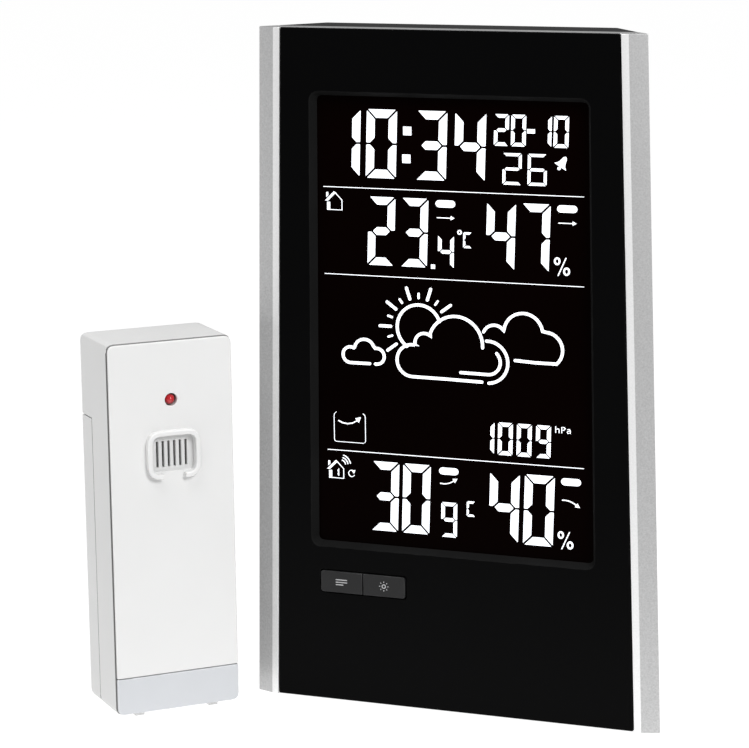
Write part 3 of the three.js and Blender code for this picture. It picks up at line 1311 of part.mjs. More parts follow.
function sensorScrews() {
  const tipY = SENSOR_FRONT + TRIM_THICKNESS + 2 * GAP;
  const shankLength = SENSOR_BAY_FLOOR + GAP - tipY;
  return SENSOR_SCREW_ZS.map((z, i) => {
    const body = screwGeometry(
      SENSOR_SCREW_SHANK_RADIUS,
      shankLength,
      SENSOR_SCREW_HEAD_RADIUS,
      SENSOR_SCREW_HEAD_HEIGHT,
    );
    const mesh = piece(`sensor_screw_${i + 1}`, solid(body), 'steel');
    mesh.position.set(0, tipY, z);
    return mesh;
  });
}

function outdoorSensor() {
  const sensor = new THREE.Group();
  sensor.add(sensorFrontCover(), sensorTrimPlate(), sensorShell(), sensorBatteryDoor());
  sensor.add(...sensorCircuit(), ...sensorCells(), ...sensorScrews());
  sensor.position.set(SENSOR_PLACE[0], SENSOR_PLACE[1], 0);
  sensor.rotation.z = THREE.MathUtils.degToRad(SENSOR_YAW_DEG);
  return sensor;
}

// ---- The station: its origin is the middle of the floor area that it covers -

const station = new THREE.Group();
station.add(displayUnit(), outdoorSensor());
station.updateMatrixWorld(true);
const covered = new THREE.Box3().setFromObject(station, true);
const middle = covered.getCenter(new THREE.Vector3());
station.position.set(-middle.x, -middle.y, -covered.min.z);

export default station;
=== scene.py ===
"""A home weather station: a tall black display unit with silver sides, and its small white outdoor sensor."""

from __future__ import annotations

import json
import logging
import math
from dataclasses import dataclass, field
from collections.abc import Callable
from enum import Enum

import bmesh
import bpy
from mathutils import Matrix, Vector

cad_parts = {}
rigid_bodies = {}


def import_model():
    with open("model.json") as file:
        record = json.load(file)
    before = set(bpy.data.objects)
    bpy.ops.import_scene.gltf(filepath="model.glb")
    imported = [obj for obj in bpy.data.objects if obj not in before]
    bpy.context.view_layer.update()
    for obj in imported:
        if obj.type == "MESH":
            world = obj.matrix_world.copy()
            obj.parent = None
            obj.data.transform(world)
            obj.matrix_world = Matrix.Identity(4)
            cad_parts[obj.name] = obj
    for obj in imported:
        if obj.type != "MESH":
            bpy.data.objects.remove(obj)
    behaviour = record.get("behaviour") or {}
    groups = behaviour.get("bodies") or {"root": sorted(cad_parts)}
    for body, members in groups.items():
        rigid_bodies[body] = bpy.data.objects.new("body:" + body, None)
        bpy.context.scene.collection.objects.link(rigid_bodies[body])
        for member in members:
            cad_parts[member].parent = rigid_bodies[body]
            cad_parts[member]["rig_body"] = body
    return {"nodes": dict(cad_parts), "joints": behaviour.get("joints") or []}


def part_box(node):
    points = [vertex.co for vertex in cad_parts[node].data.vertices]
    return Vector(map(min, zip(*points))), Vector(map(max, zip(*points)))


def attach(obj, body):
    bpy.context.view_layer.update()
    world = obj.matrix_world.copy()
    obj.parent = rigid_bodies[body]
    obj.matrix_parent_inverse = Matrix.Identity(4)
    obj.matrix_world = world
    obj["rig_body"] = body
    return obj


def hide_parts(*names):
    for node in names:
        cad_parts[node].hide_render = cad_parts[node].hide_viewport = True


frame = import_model()

MM = 0.001
LOG = logging.getLogger("weather_station")

Colour = tuple[float, float, float]
Triple = tuple[float, float, float]
Point = tuple[float, float]
Station = tuple[Vector, Vector, float]
Socket = bpy.types.NodeSocket
Shape = bmesh.types.BMesh
Value = float | Triple | Socket

# A mix node has the same socket names for numbers and colours, so its colours go by their places.
COLOUR_MIX_INPUTS = (0, 6, 7)
COLOUR_MIX_OUTPUT = 2

# What a mesh tells its material: rounded edges, the way along a cell, polished faces that also get painted
# light, and painted shade in seams and recesses.
EDGE = "edge"
ALONG = "along"
POLISH_AND_PAINTED_LIGHT = "polish_and_painted_light"
PAINTED_SHADE = "seam"


def mm(value: float) -> float:
    """Returns millimetres as metres."""
    return value * MM


# Copies of the frame's shapes: points nearer than this are one point, and faces this level are one face.
MERGE_DISTANCE = mm(0.0015)
SLIVER_LENGTH = mm(0.001)
LEVEL_ANGLE = math.radians(0.6)
SMALLEST_SUM = 1e-14

# The room that a rounded edge needs, as shares of its rounding: its own length, and that of the edges it
# meets at a bend, which are rounded too or stay sharp.
OWN_ROOM = 0.4
ROOM_BY_ROUNDED = 2.15
ROOM_BY_SHARP = 1.1
LEAST_BEND = math.radians(50.0)

# Drawn marks: points and edges that are joined, a line's sharpest corner and its round end, discs, arrows.
MARK_MERGE = mm(0.004)
MARK_SLIVER = mm(0.003)
LEAST_MITRE = 0.55
ROUND_END_ANGLES = (0.0, 30.0, 55.0, 75.0, 87.0)
DISC_STEPS = 24
ARROW_HALF_WIDTH = 0.52


# ---- Finishes ----


class Wiring:
    """One procedural material while its nodes are being wired."""

    def __init__(self, name: str) -> None:
        """Starts an empty node tree with a surface shader.

        Args:
            name: the material's name.
        """
        self.material = bpy.data.materials.new(name)
        self.material.use_nodes = True
        self.tree = self.material.node_tree
        self.tree.nodes.clear()
        self.shader = self.node("ShaderNodeBsdfPrincipled")
        self.node("ShaderNodeOutputMaterial", {"Surface": self.shader.outputs[0]})
        self.place = self.node("ShaderNodeTexCoord").outputs["Object"]

    def node(self, kind: str, inputs: dict[str, Value] | None = None) -> bpy.types.Node:
        """Adds a node.

        Args:
            kind: its type.
            inputs: what its inputs take, each a pattern or a fixed value.

        Returns:
            The node.
        """
        made = self.tree.nodes.new(kind)
        for name, value in (inputs or {}).items():
            self.give(made.inputs[name], value)
        return made

    def give(self, target: Socket, value: Value) -> None:
        """Wires a pattern into a socket, or sets the socket to a fixed value.

        Args:
            target: the socket.
            value: a pattern, a number or a colour.
        """
        if isinstance(value, Socket):
            self.tree.links.new(value, target)
        elif target.type == "RGBA":
            target.default_value = (*value, 1.0)
        else:
            target.default_value = value

    def set(self, socket: str, value: Value) -> None:
        """Gives one of the shader's sockets a pattern, or a value that is the same all over.

        Args:
            socket: the shader's socket.
            value: a pattern, a number or a colour.
        """
        self.give(self.shader.inputs[socket], value)

    def along(self, way: Triple) -> Socket:
        """Returns how far a point lies along a direction, in the object's coordinates."""
        measured = self.node("ShaderNodeVectorMath")
        measured.operation = "DOT_PRODUCT"
        self.give(measured.inputs[0], self.place)
        self.give(measured.inputs[1], way)
        return measured.outputs["Value"]

    def noise(self, scale: float, detail: float = 2.0, stretch: Triple | None = None) -> Socket:
        """Adds a cloudy pattern.

        Args:
            scale: the pattern's repeats per metre.
            detail: how many finer layers it has.
            stretch: the scale along each axis, or none.

        Returns:
            The pattern, about 0.5 on average.
        """
        place = self.place
        if stretch:
            place = self.node("ShaderNodeMapping", {"Vector": place, "Scale": stretch}).outputs["Vector"]
        texture = self.node("ShaderNodeTexNoise", {"Scale": scale, "Detail": detail, "Vector": place})
        return texture.outputs["Fac"]

    def cells(self, scale: float, feature: str = "F1", looseness: float = 1.0) -> Socket:
        """Adds a pattern of cells.

        Args:
            scale: the cells per metre.
            feature: what is measured in a cell.
            looseness: how far the cells stray from a grid.

        Returns:
            The distance that the feature names.
        """
        texture = self.node("ShaderNodeTexVoronoi")
        texture.feature = feature
        for name, value in (("Scale", scale), ("Randomness", looseness), ("Vector", self.place)):
            self.give(texture.inputs[name], value)
        return texture.outputs["Distance"]

    def attribute(self, name: str) -> Socket:
        """Returns a number that the piece's own mesh carries."""
        carried = self.node("ShaderNodeAttribute")
        carried.attribute_name = name
        return carried.outputs["Fac"]

    def span(self, source: Socket, low: float, high: float, start: float = 0.3, end: float = 0.7) -> Socket:
        """Spreads a pattern over a range of values.

        Args:
            source: the pattern.
            low: the value at the start.
            high: the value at the end.
            start: the pattern's value that becomes low.
            end: the pattern's value that becomes high.

        Returns:
            The spread pattern.
        """
        ends = {"From Min": start, "From Max": end, "To Min": low, "To Max": high}
        return self.node("ShaderNodeMapRange", {"Value": source, **ends}).outputs["Result"]

    def maths(self, how: str, first: Socket, second: Socket) -> Socket:
        """Returns two patterns combined by the operation that is named."""
        worked = self.node("ShaderNodeMath")
        worked.operation = how
        self.give(worked.inputs[0], first)
        self.give(worked.inputs[1], second)
        return worked.outputs[0]

    def sum(self, first: Socket, second: Socket) -> Socket:
        """Returns two patterns added up."""
        return self.maths("ADD", first, second)

    def product(self, first: Socket, second: Socket) -> Socket:
        """Returns one pattern times another, which shows it only where the other is."""
        return self.maths("MULTIPLY", first, second)

    def mix(self, factor: Socket, first: Colour | Socket, second: Colour | Socket) -> Socket:
        """Mixes two colours by a pattern.

        Args:
            factor: the pattern.
            first: the colour where the pattern is 0.
            second: the colour where it is 1.

        Returns:
            The mixed colour.
        """
        blend = self.node("ShaderNodeMix")
        blend.data_type = "RGBA"
        for index, value in zip(COLOUR_MIX_INPUTS, (factor, first, second)):
            self.give(blend.inputs[index], value)
        return blend.outputs[COLOUR_MIX_OUTPUT]

    def relief(self, height: Socket, depth: float) -> None:
        """Raises the surface by a pattern.

        Args:
            height: the pattern.
            depth: the relief's depth, in metres.
        """
        bump = self.node("ShaderNodeBump", {"Height": height, "Distance": depth})
        self.set("Normal", bump.outputs["Normal"])

    def clouded(self, colour: Colour, amount: float, scale: float) -> Socket:
        """Varies a colour a little from place to place.

        Args:
            colour: the middle colour.
            amount: the share by which it varies.
            scale: the clouds per metre.

        Returns:
            The varied colour.
        """
        darker = tuple(channel * (1.0 - amount) for channel in colour)
        lighter = tuple(min(1.0, channel * (1.0 + amount)) for channel in colour)
        return self.mix(self.span(self.noise(scale, 3.0), 0.0, 1.0), darker, lighter)

    def rubbed(self, base: Socket, worn: Colour, reach: float = 0.6) -> tuple[Socket, Socket]:
        """Shows handling along the rounded edges.

        Args:
            base: the colour elsewhere.
            worn: the colour of a rubbed edge.
            reach: how much of the edges is rubbed.

        Returns:
            The colour with its rubbed edges, and where they are.
        """
        patches = self.span(self.noise(260.0, 4.0), 0.0, reach, 0.42, 0.66)
        where = self.product(self.attribute(EDGE), patches)
        return self.mix(where, base, worn), where


class Finish:
    """A finish: it makes its material the first time that it is asked for."""

    name: str

    def material(self) -> bpy.types.Material:
        """Returns the finish's material."""
        title = f"{self.name}_finish"
        found = bpy.data.materials.get(title)
        if found:
            return found
        w = Wiring(title)
        self.wire(w)
        return w.material

    def wire(self, w: Wiring) -> None:
        """Wires the material's nodes; each finish has its own way.

        Args:
            w: the material to wire.
        """
        raise NotImplementedError


@dataclass(frozen=True)
class MouldedPlastic(Finish):
    """Injection-moulded plastic with a fine eroded grain."""

    name: str
    colour: Colour
    worn: Colour
    roughness: float = 0.5
    grain: float = 2600.0
    depth: float = 0.00002
    specular: float = 0.5
    clouding: float = 0.05
    subsurface: float = 0.0
    # How dark the painted shade in seams and recesses makes the colour.
    seam: float = 0.3

    def wire(self, w: Wiring) -> None:
        """Wires clouded colour, rubbed edges, painted shade where the mesh marks seams and recesses, grain in
        the relief and the roughness.

        Args:
            w: the material to wire.
        """
        colour, where = w.rubbed(w.clouded(self.colour, self.clouding, 38.0), self.worn)
        # Painted shade: the colour darkens where the mesh marks a seam or a recess.
        shaded = tuple(channel * self.seam for channel in self.colour)
        w.set("Base Color", w.mix(w.attribute(PAINTED_SHADE), colour, shaded))
        grain = w.noise(self.grain, 3.0)
        smears = w.span(w.noise(24.0, 4.0), -0.04, 0.05)
        rough = w.span(grain, self.roughness - 0.05, self.roughness + 0.06)
        w.set("Roughness", w.sum(w.sum(rough, smears), w.span(where, 0.0, -0.08, 0.0, 1.0)))
        w.relief(grain, self.depth)
        w.set("Specular IOR Level", self.specular)
        if self.subsurface:
            w.set("Subsurface Weight", self.subsurface)
            w.set("Subsurface Scale", 0.0012)
            w.set("Subsurface Radius", (1.0, 0.92, 0.85))


@dataclass(frozen=True)
class FlakePaint(Finish):
    """Silver paint with metal flake under a satin lacquer."""

    name: str
    dark_flake: Colour
    light_flake: Colour
    # The lighter colour of the narrow facets, a painted highlight on their polish.
    polished_painted_highlight: Colour
    dulled: Colour = (0.36, 0.36, 0.37)
    flake: float = 2300.0
    metallic: float = 0.55
    roughness: float = 0.42

    def wire(self, w: Wiring) -> None:
        """Wires flakes of two sizes, soft streaks of the spray gun, dulled edges, and a lighter polished
        colour on the marked facets, which is a painted highlight.

        Args:
            w: the material to wire.
        """
        small = w.span(w.noise(self.flake, 1.0), 0.0, 1.0, 0.2, 0.8)
        large = w.span(w.cells(1500.0), 0.3, 0.7, 0.15, 0.75)
        flakes = w.span(w.sum(small, large), 0.0, 1.0, 0.2, 1.8)
        paint = w.mix(flakes, self.dark_flake, self.light_flake)
        streaks = w.span(w.noise(9.0, 3.0, (3.0, 3.0, 0.6)), 0.0, 0.16)
        paint = w.mix(streaks, paint, self.dark_flake)
        # Painted highlight: the marked narrow facets take a lighter colour in place of the light they catch.
        polish_and_painted_light = w.product(w.attribute(POLISH_AND_PAINTED_LIGHT), w.span(small, 0.8, 1.0, 0.0, 1.0))
        paint = w.mix(polish_and_painted_light, paint, self.polished_painted_highlight)
        colour, _ = w.rubbed(paint, self.dulled, 0.35)
        w.set("Base Color", colour)
        w.set("Metallic", self.metallic)
        w.set("Roughness", w.span(flakes, self.roughness + 0.07, self.roughness - 0.07, 0.0, 1.0))
        w.relief(small, 0.000008)
        w.set("Coat Weight", 0.2)
        w.set("Coat Roughness", 0.3)


@dataclass(frozen=True)
class PianoBlack(Finish):
    """Polished black plastic with a faint orange peel, fine dust and hairline swirls."""

    name: str
    colour: Colour = (0.0014, 0.0014, 0.0015)
    # The slope's lighter satin colour is a painted sheen.
    satin_painted_sheen: Colour = (0.0078, 0.0078, 0.0078)
    dust: Colour = (0.05, 0.05, 0.05)
    worn: Colour = (0.012, 0.012, 0.012)
    roughness: float = 0.1
    specular: float = 0.035

    def wire(self, w: Wiring) -> None:
        """Wires the polish, the dust, the swirls, and the satin slope round the screen, whose lighter colour
        is a painted sheen.

        Args:
            w: the material to wire.
        """
        grains = w.span(w.cells(420.0), 1.0, 0.0, 0.015, 0.05)
        patches = w.span(w.noise(22.0, 3.0), 0.0, 0.25, 0.5, 0.8)
        specks = w.product(grains, patches)
        base = w.mix(specks, w.clouded(self.colour, 0.08, 20.0), self.dust)
        colour, _ = w.rubbed(base, self.worn, 0.5)
        # Painted sheen: the slope round the screen takes a lighter colour as well as a rougher surface.
        slope = w.attribute(POLISH_AND_PAINTED_LIGHT)
        w.set("Base Color", w.mix(slope, colour, w.clouded(self.satin_painted_sheen, 0.1, 60.0)))
        swirls = w.span(w.noise(160.0, 6.0, (1.0, 1.0, 0.12)), 0.0, 0.05, 0.5, 0.8)
        rough = w.span(w.noise(16.0, 3.0), self.roughness - 0.03, self.roughness + 0.05)
        w.set("Roughness", w.sum(w.sum(rough, swirls), w.span(slope, 0.0, 0.5, 0.0, 1.0)))
        w.relief(w.noise(420.0, 1.0), 0.0000025)
        w.set("Specular IOR Level", self.specular)


@dataclass(frozen=True)
class ScreenGlass(Finish):
    """The screen's front glass over its dark filter."""

    name: str
    colour: Colour = (0.0014, 0.0002, 0.0001)

    def wire(self, w: Wiring) -> None:
        """Wires the dark filter under a thin polish with smears.

        Args:
            w: the material to wire.
        """
        w.set("Base Color", w.clouded(self.colour, 0.25, 14.0))
        w.set("Roughness", w.span(w.noise(18.0, 4.0), 0.06, 0.16))
        w.relief(w.noise(60.0, 1.0), 0.000002)
        w.set("Specular IOR Level", 0.01)


@dataclass(frozen=True)
class LitFilm(Finish):
    """A lit mark of the screen, with the small unevenness of its backlight."""

    name: str
    colour: Colour = (0.86, 0.9, 0.95)
    off: Colour = (0.75, 0.77, 0.8)
    strength: float = 1.04

    def wire(self, w: Wiring) -> None:
        """Wires the glow, a little weaker in places.

        Args:
            w: the material to wire.
        """
        dim = tuple(channel * 0.95 for channel in self.colour)
        glow = w.mix(w.span(w.noise(26.0, 2.0), 0.0, 1.0), dim, self.colour)
        w.set("Emission Color", glow)
        w.set("Emission Strength", self.strength)
        w.set("Base Color", w.clouded(self.off, 0.05, 40.0))
        w.set("Roughness", w.span(w.noise(900.0, 2.0), 0.35, 0.5))
        w.relief(w.noise(700.0, 1.0), 0.000003)


@dataclass(frozen=True)
class Metal(Finish):
    """Bare or plated metal with rolling marks and tarnish."""

    name: str
    colour: Colour
    tarnish: Colour
    roughness: float = 0.28
    grain: float = 1800.0

    def wire(self, w: Wiring) -> None:
        """Wires the metal, its marks and its tarnish.

        Args:
            w: the material to wire.
        """
        marks = w.noise(self.grain, 3.0)
        stain = w.span(w.noise(210.0, 4.0), 0.0, 0.55, 0.48, 0.75)
        w.set("Base Color", w.mix(stain, w.clouded(self.colour, 0.06, 120.0), self.tarnish))
        w.set("Metallic", 1.0)
        rough = w.span(marks, self.roughness - 0.08, self.roughness + 0.08)
        w.set("Roughness", w.sum(rough, w.span(stain, 0.0, 0.15)))
        w.relief(marks, 0.000006)


@dataclass(frozen=True)
class CircuitBoard(Finish):
    """Green lacquered board with tracks, plated holes and woven glass under it."""

    name: str
    colour: Colour = (0.012, 0.085, 0.035)
    track: Colour = (0.03, 0.17, 0.07)
    plating: Colour = (0.62, 0.6, 0.52)

    def wire(self, w: Wiring) -> None:
        """Wires the tracks, the holes and the weave.

        Args:
            w: the material to wire.
        """
        tracks = w.span(w.cells(260.0, "DISTANCE_TO_EDGE", 0.45), 1.0, 0.0, 0.05, 0.09)
        holes = w.span(w.cells(180.0, "F1", 0.8), 1.0, 0.0, 0.06, 0.1)
        lacquer = w.mix(tracks, w.clouded(self.colour, 0.12, 90.0), self.track)
        w.set("Base Color", w.mix(holes, lacquer, self.plating))
        weave = w.noise(1500.0, 1.0, (1.0, 0.35, 1.0))
        w.set("Roughness", w.span(weave, 0.24, 0.42))
        w.relief(w.sum(tracks, w.span(weave, 0.0, 0.4)), 0.00002)


@dataclass(frozen=True)
class CellWrap(Finish):
    """A dry cell: printed shrink wrap with plain bands, and bare plated ends."""

    name: str
    body: Colour = (0.022, 0.024, 0.028)
    cap_band: Colour = (0.62, 0.3, 0.12)
    stripe: Colour = (0.5, 0.5, 0.5)
    steel: Colour = (0.62, 0.6, 0.56)

    def wire(self, w: Wiring) -> None:
        """Wires the bands along the cell, read from its mesh.

        Args:
            w: the material to wire.
        """
        along = w.attribute(ALONG)
        band = w.span(along, 1.0, 0.0, 0.239, 0.241)
        line = w.product(w.span(along, 0.0, 1.0, 0.259, 0.261), w.span(along, 1.0, 0.0, 0.274, 0.276))
        ends = w.attribute(EDGE)
        print_colour = w.mix(band, w.clouded(self.body, 0.15, 60.0), self.cap_band)
        print_colour = w.mix(line, print_colour, self.stripe)
        w.set("Base Color", w.mix(ends, print_colour, self.steel))
        w.set("Metallic", w.span(ends, 0.0, 1.0, 0.0, 1.0))
        scuffs = w.noise(320.0, 4.0)
        w.set("Roughness", w.span(scuffs, 0.2, 0.42))
        w.relief(scuffs, 0.00001)
        w.set("Coat Weight", 0.25)
        w.set("Coat Roughness", 0.15)


@dataclass(frozen=True)
class RedLens(Finish):
    """The sensor's red lamp: dyed, clear and domed."""

    name: str
    colour: Colour = (0.52, 0.012, 0.02)
    # The dark red of the dome's edge, a painted shade.
    rim: Colour = (0.09, 0.003, 0.006)

    def wire(self, w: Wiring) -> None:
        """Wires the dye under a clear skin, with painted shade that darkens it where the dome turns away from
        the camera.

        Args:
            w: the material to wire.
        """
        # Painted shade: the colour darkens towards the dome's edge as the camera sees it.
        turned = w.node("ShaderNodeLayerWeight", {"Blend": 0.32}).outputs["Facing"]
        streaks = w.clouded(self.colour, 0.18, 500.0)
        w.set("Base Color", w.mix(w.span(turned, 0.0, 1.0, 0.1, 0.9), streaks, self.rim))
        w.set("Roughness", w.span(w.noise(800.0, 2.0), 0.1, 0.2))
        w.relief(w.noise(600.0, 1.0), 0.000004)
        w.set("Subsurface Weight", 0.2)
        w.set("Subsurface Scale", 0.001)
        w.set("Subsurface Radius", (1.0, 0.2, 0.1))
        w.set("Coat Weight", 0.6)
        w.set("Coat Roughness", 0.06)


SILVER = FlakePaint("silver_paint", (0.415, 0.415, 0.417), (0.62, 0.62, 0.622), (0.94, 0.94, 0.94))
PIANO = PianoBlack("gloss_black")
CASE_BLACK = MouldedPlastic(
    "matt_black", (0.012, 0.012, 0.0125), (0.035, 0.035, 0.036), 0.55, 1900.0, 0.00004, 0.3
)
FRONT_KEY = MouldedPlastic(
    "front_key_grey", (0.0135, 0.0135, 0.014), (0.045, 0.045, 0.046), 0.42, 3200.0, 0.00001, 0.25
)
REAR_KEY = MouldedPlastic(
    "rear_key_grey", (0.09, 0.092, 0.095), (0.16, 0.16, 0.165), 0.6, 2600.0, 0.00002, 0.35
)
GLASS = ScreenGlass("display_glass")
LIT = LitFilm("display_digits")
LIGHT_GUIDE = MouldedPlastic("display_light", (0.82, 0.84, 0.86), (0.9, 0.9, 0.9), 0.2, 700.0, 0.00001, 0.5)
INNER_WHITE = MouldedPlastic("inner_white", (0.62, 0.61, 0.58), (0.74, 0.73, 0.7), 0.62)
RUBBER = MouldedPlastic("connector_rubber", (0.045, 0.045, 0.05), (0.09, 0.09, 0.1), 0.7, 1400.0)
BOARD = CircuitBoard("circuit_board")
CHIP = MouldedPlastic("chip_black", (0.014, 0.014, 0.015), (0.04, 0.04, 0.04), 0.6, 3800.0, 0.000012)
KNOB = MouldedPlastic("switch_knob", (0.025, 0.025, 0.028), (0.06, 0.06, 0.06), 0.45)
NICKEL = Metal("nickel", (0.66, 0.62, 0.55), (0.32, 0.28, 0.22), 0.26)
COPPER = Metal("copper_wire", (0.78, 0.36, 0.18), (0.35, 0.14, 0.07), 0.3)
STEEL = Metal("screw_steel", (0.42, 0.42, 0.43), (0.16, 0.15, 0.15), 0.34)
CELL = CellWrap("cell_wrap")
SENSOR_WHITE = MouldedPlastic(
    "sensor_white", (0.755, 0.755, 0.752), (0.85, 0.85, 0.84), 0.46, 2600.0, 0.000008, 0.4, 0.012, 0.08
)
SENSOR_TRIM = MouldedPlastic(
    "sensor_trim", (0.59, 0.605, 0.63), (0.74, 0.76, 0.78), 0.4, 1500.0, 0.00001, 0.45, 0.03
)
LENS = RedLens("red_lens")
# A near-black sheet behind the sensor's slots: painted shade for the dark inside of the casing.
SLOT_SHADE_SHEET = MouldedPlastic("slot_shade_sheet", (0.006, 0.006, 0.006), (0.02, 0.02, 0.02), 0.7, 5200.0, 0.00002, 0.2)
PRINT = MouldedPlastic("key_print", (0.42, 0.42, 0.43), (0.5, 0.5, 0.5), 0.5, 3000.0, 0.000004)


# ---- Making pieces ----


def smooth_normals(mesh: bpy.types.Mesh, curve_limit: float = 24.0, round_limit: float = 50.0) -> None:
    """Shades curves and rounded edges smoothly and keeps flat faces flat.

    Args:
        mesh: the mesh to shade.
        curve_limit: the most that two faces of one curve turn from each other, in degrees.
        round_limit: the same where one of them is part of a rounded edge.
    """
    mesh.polygons.foreach_set("use_smooth", [True] * len(mesh.polygons))
    layer = mesh.attributes.get(EDGE)
    rounded = [value.value > 0.5 for value in layer.data] if layer else [False] * len(mesh.polygons)
    around: list[list[int]] = [[] for _ in mesh.vertices]
    for polygon in mesh.polygons:
        for vertex in polygon.vertices:
            around[vertex].append(polygon.index)
    curve_least = math.cos(math.radians(curve_limit))
    round_least = math.cos(math.radians(round_limit))
    weighted = [polygon.normal * polygon.area for polygon in mesh.polygons]
    facing = [polygon.normal.copy() for polygon in mesh.polygons]
    normals: list[Vector] = []
    for polygon in mesh.polygons:
        own = facing[polygon.index]
        for vertex in polygon.vertices:
            total = Vector((0.0, 0.0, 0.0))
            for neighbour in around[vertex]:
                if rounded[neighbour] and not rounded[polygon.index]:
                    continue
                if own.dot(facing[neighbour]) > (round_least if rounded[polygon.index] else curve_least):
                    total += weighted[neighbour]
            normals.append(total.normalized() if total.length > SMALLEST_SUM else own)
    mesh.normals_split_custom_set(normals)


def roomy(edge: bmesh.types.BMEdge, radius: float, picked: set[bmesh.types.BMEdge]) -> bool:
    """Tells whether an edge can be rounded without running into its neighbours.

    Args:
        edge: the edge.
        radius: how far the rounding reaches.
        picked: all the edges that are to be rounded.

    Returns:
        True where there is room.
    """
    if edge.calc_length() < radius * OWN_ROOM:
        return False
    for loop in edge.link_loops:
        for other in (loop.link_loop_next, loop.link_loop_prev):
            shared = loop.vert if other is loop.link_loop_prev else loop.link_loop_next.vert
            far = other.edge.other_vert(shared)
            near = edge.other_vert(shared)
            if far is None or near is None:
                return False
            turn = (far.co - shared.co).angle(shared.co - near.co, 0.0)
            if turn < LEAST_BEND:
                continue
            need = radius * (ROOM_BY_ROUNDED if other.edge in picked else ROOM_BY_SHARP)
            if other.edge.calc_length() * math.sin(turn) < need:
                return False
    return True


def bevel(bm: Shape, parts: list, radius: float, segments: int, corners: bool = False) -> list:
    """Rounds a shape's edges, or a flat shape's corners.

    Args:
        bm: the shape.
        parts: the edges, or the corners.
        radius: how far the rounding reaches.
        segments: how many strips it has.
        corners: whether the parts are corners, whose rounding then stops where it would overlap.

    Returns:
        The faces that the rounding made.
    """
    return bmesh.ops.bevel(
        bm,
        geom=parts,
        offset=radius,
        offset_type="OFFSET",
        affect="VERTICES" if corners else "EDGES",
        segments=segments,
        profile=0.5,
        material=-1,
        clamp_overlap=corners,
    )["faces"]


def round_edges(
    bm: Shape,
    radius: float,
    segments: int,
    sharp: float,
    chosen: Callable[[Vector], bool] | None = None,
) -> None:
    """Rounds a closed shape's sharp outer edges and marks where it did.

    Args:
        bm: the shape.
        radius: how far the rounding reaches.
        segments: how many strips it has.
        sharp: edges that turn by more than this many degrees are rounded.
        chosen: tells from an edge's middle whether it is rounded, or none for all.
    """
    layer = bm.faces.layers.float.get(EDGE) or bm.faces.layers.float.new(EDGE)
    picked = {
        edge
        for edge in bm.edges
        if len(edge.link_faces) == 2
        and edge.calc_face_angle_signed(0.0) > math.radians(sharp)
        and (chosen is None or chosen((edge.verts[0].co + edge.verts[1].co) / 2.0))
    }
    for _ in range(3):
        tight = {edge for edge in picked if not roomy(edge, radius, picked)}
        if not tight:
            break
        picked -= tight
    if not picked:
        return
    ordered = [edge for edge in bm.edges if edge in picked]
    for face in bevel(bm, ordered, radius, segments):
        face[layer] = 1.0


def mark_polish_and_painted_light(bm: Shape, low: float, high: float) -> None:
    """Marks the faces that are turned to the front by a share between two limits; their material gives them a
    polished or satin finish and a lighter colour, which is painted light.

    Args:
        bm: the shape.
        low: the least share; 1 is straight to the front.
        high: the greatest share.
    """
    layer = bm.faces.layers.float.new(POLISH_AND_PAINTED_LIGHT)
    for face in bm.faces:
        face.normal_update()
        face[layer] = 1.0 if low < -face.normal.y < high else 0.0


@dataclass
class Maker:
    """Adds finished pieces to the scene and keeps count of them."""

    made: list[str] = field(default_factory=list)

    def add(
        self,
        name: str,
        bm: Shape,
        finish: Finish,
        body: str,
        slot: str,
        replaces: tuple[str, ...] = (),
    ) -> bpy.types.Object:
        """Turns a shape into a piece that rides on a body.

        Args:
            name: the piece's name.
            bm: its shape, which is freed.
            finish: its finish.
            body: the body that it rides on.
            slot: not used.
            replaces: the nodes that it stands for.

        Returns:
            The piece.
        """
        mesh = bpy.data.meshes.new(name)
        bm.to_mesh(mesh)
        bm.free()
        smooth_normals(mesh)
        piece = bpy.data.objects.new(name, mesh)
        bpy.context.scene.collection.objects.link(piece)
        mesh.materials.append(finish.material())
        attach(piece, body)
        if replaces:
            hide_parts(*replaces)
        self.made.append(name)
        LOG.info("%s: %d faces on %s", name, len(mesh.polygons), body)
        return piece

    def refine(
        self,
        node: str,
        finish: Finish,
        radius: float = 0.25,
        segments: int = 2,
        sharp: float = 35.0,
    ) -> bpy.types.Object:
        """Makes a finished piece from a node's own shape, with its sharp edges rounded.

        Args:
            node: the node.
            finish: the piece's finish.
            radius: the rounding in millimetres, or 0 for none.
            segments: the strips of the rounding.
            sharp: the least turn, in degrees, that is rounded.

        Returns:
            The piece.
        """
        bm = merged_copy(node)
        if radius > 0.0:
            round_edges(bm, mm(radius), segments, sharp)
        return self.stand_in(node, bm, finish)

    def stand_in(self, node: str, bm: Shape, finish: Finish) -> bpy.types.Object:
        """Adds a piece that stands for a node, from that node's reworked shape.

        Args:
            node: the node.
            bm: the reworked shape, which is freed.
            finish: the piece's finish.

        Returns:
            The piece.
        """
        return self.add(f"{node}_finished", bm, finish, body_of(node), finish.name, (node,))

    def refine_all(self, rows: tuple[tuple[str, Finish, float, int], ...]) -> None:
        """Makes a finished piece from each node of a list.

        Args:
            rows: each node with its finish, its rounding in millimetres and the strips of the rounding.
        """
        for node, finish, radius, segments in rows:
            self.refine(node, finish, radius, segments)


def body_of(node: str) -> str:
    """Returns the body that a node rides on."""
    return frame["nodes"][node]["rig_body"]


def middle_of(node: str) -> Vector:
    """Returns the middle of a node's box."""
    low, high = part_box(node)
    return (low + high) / 2.0


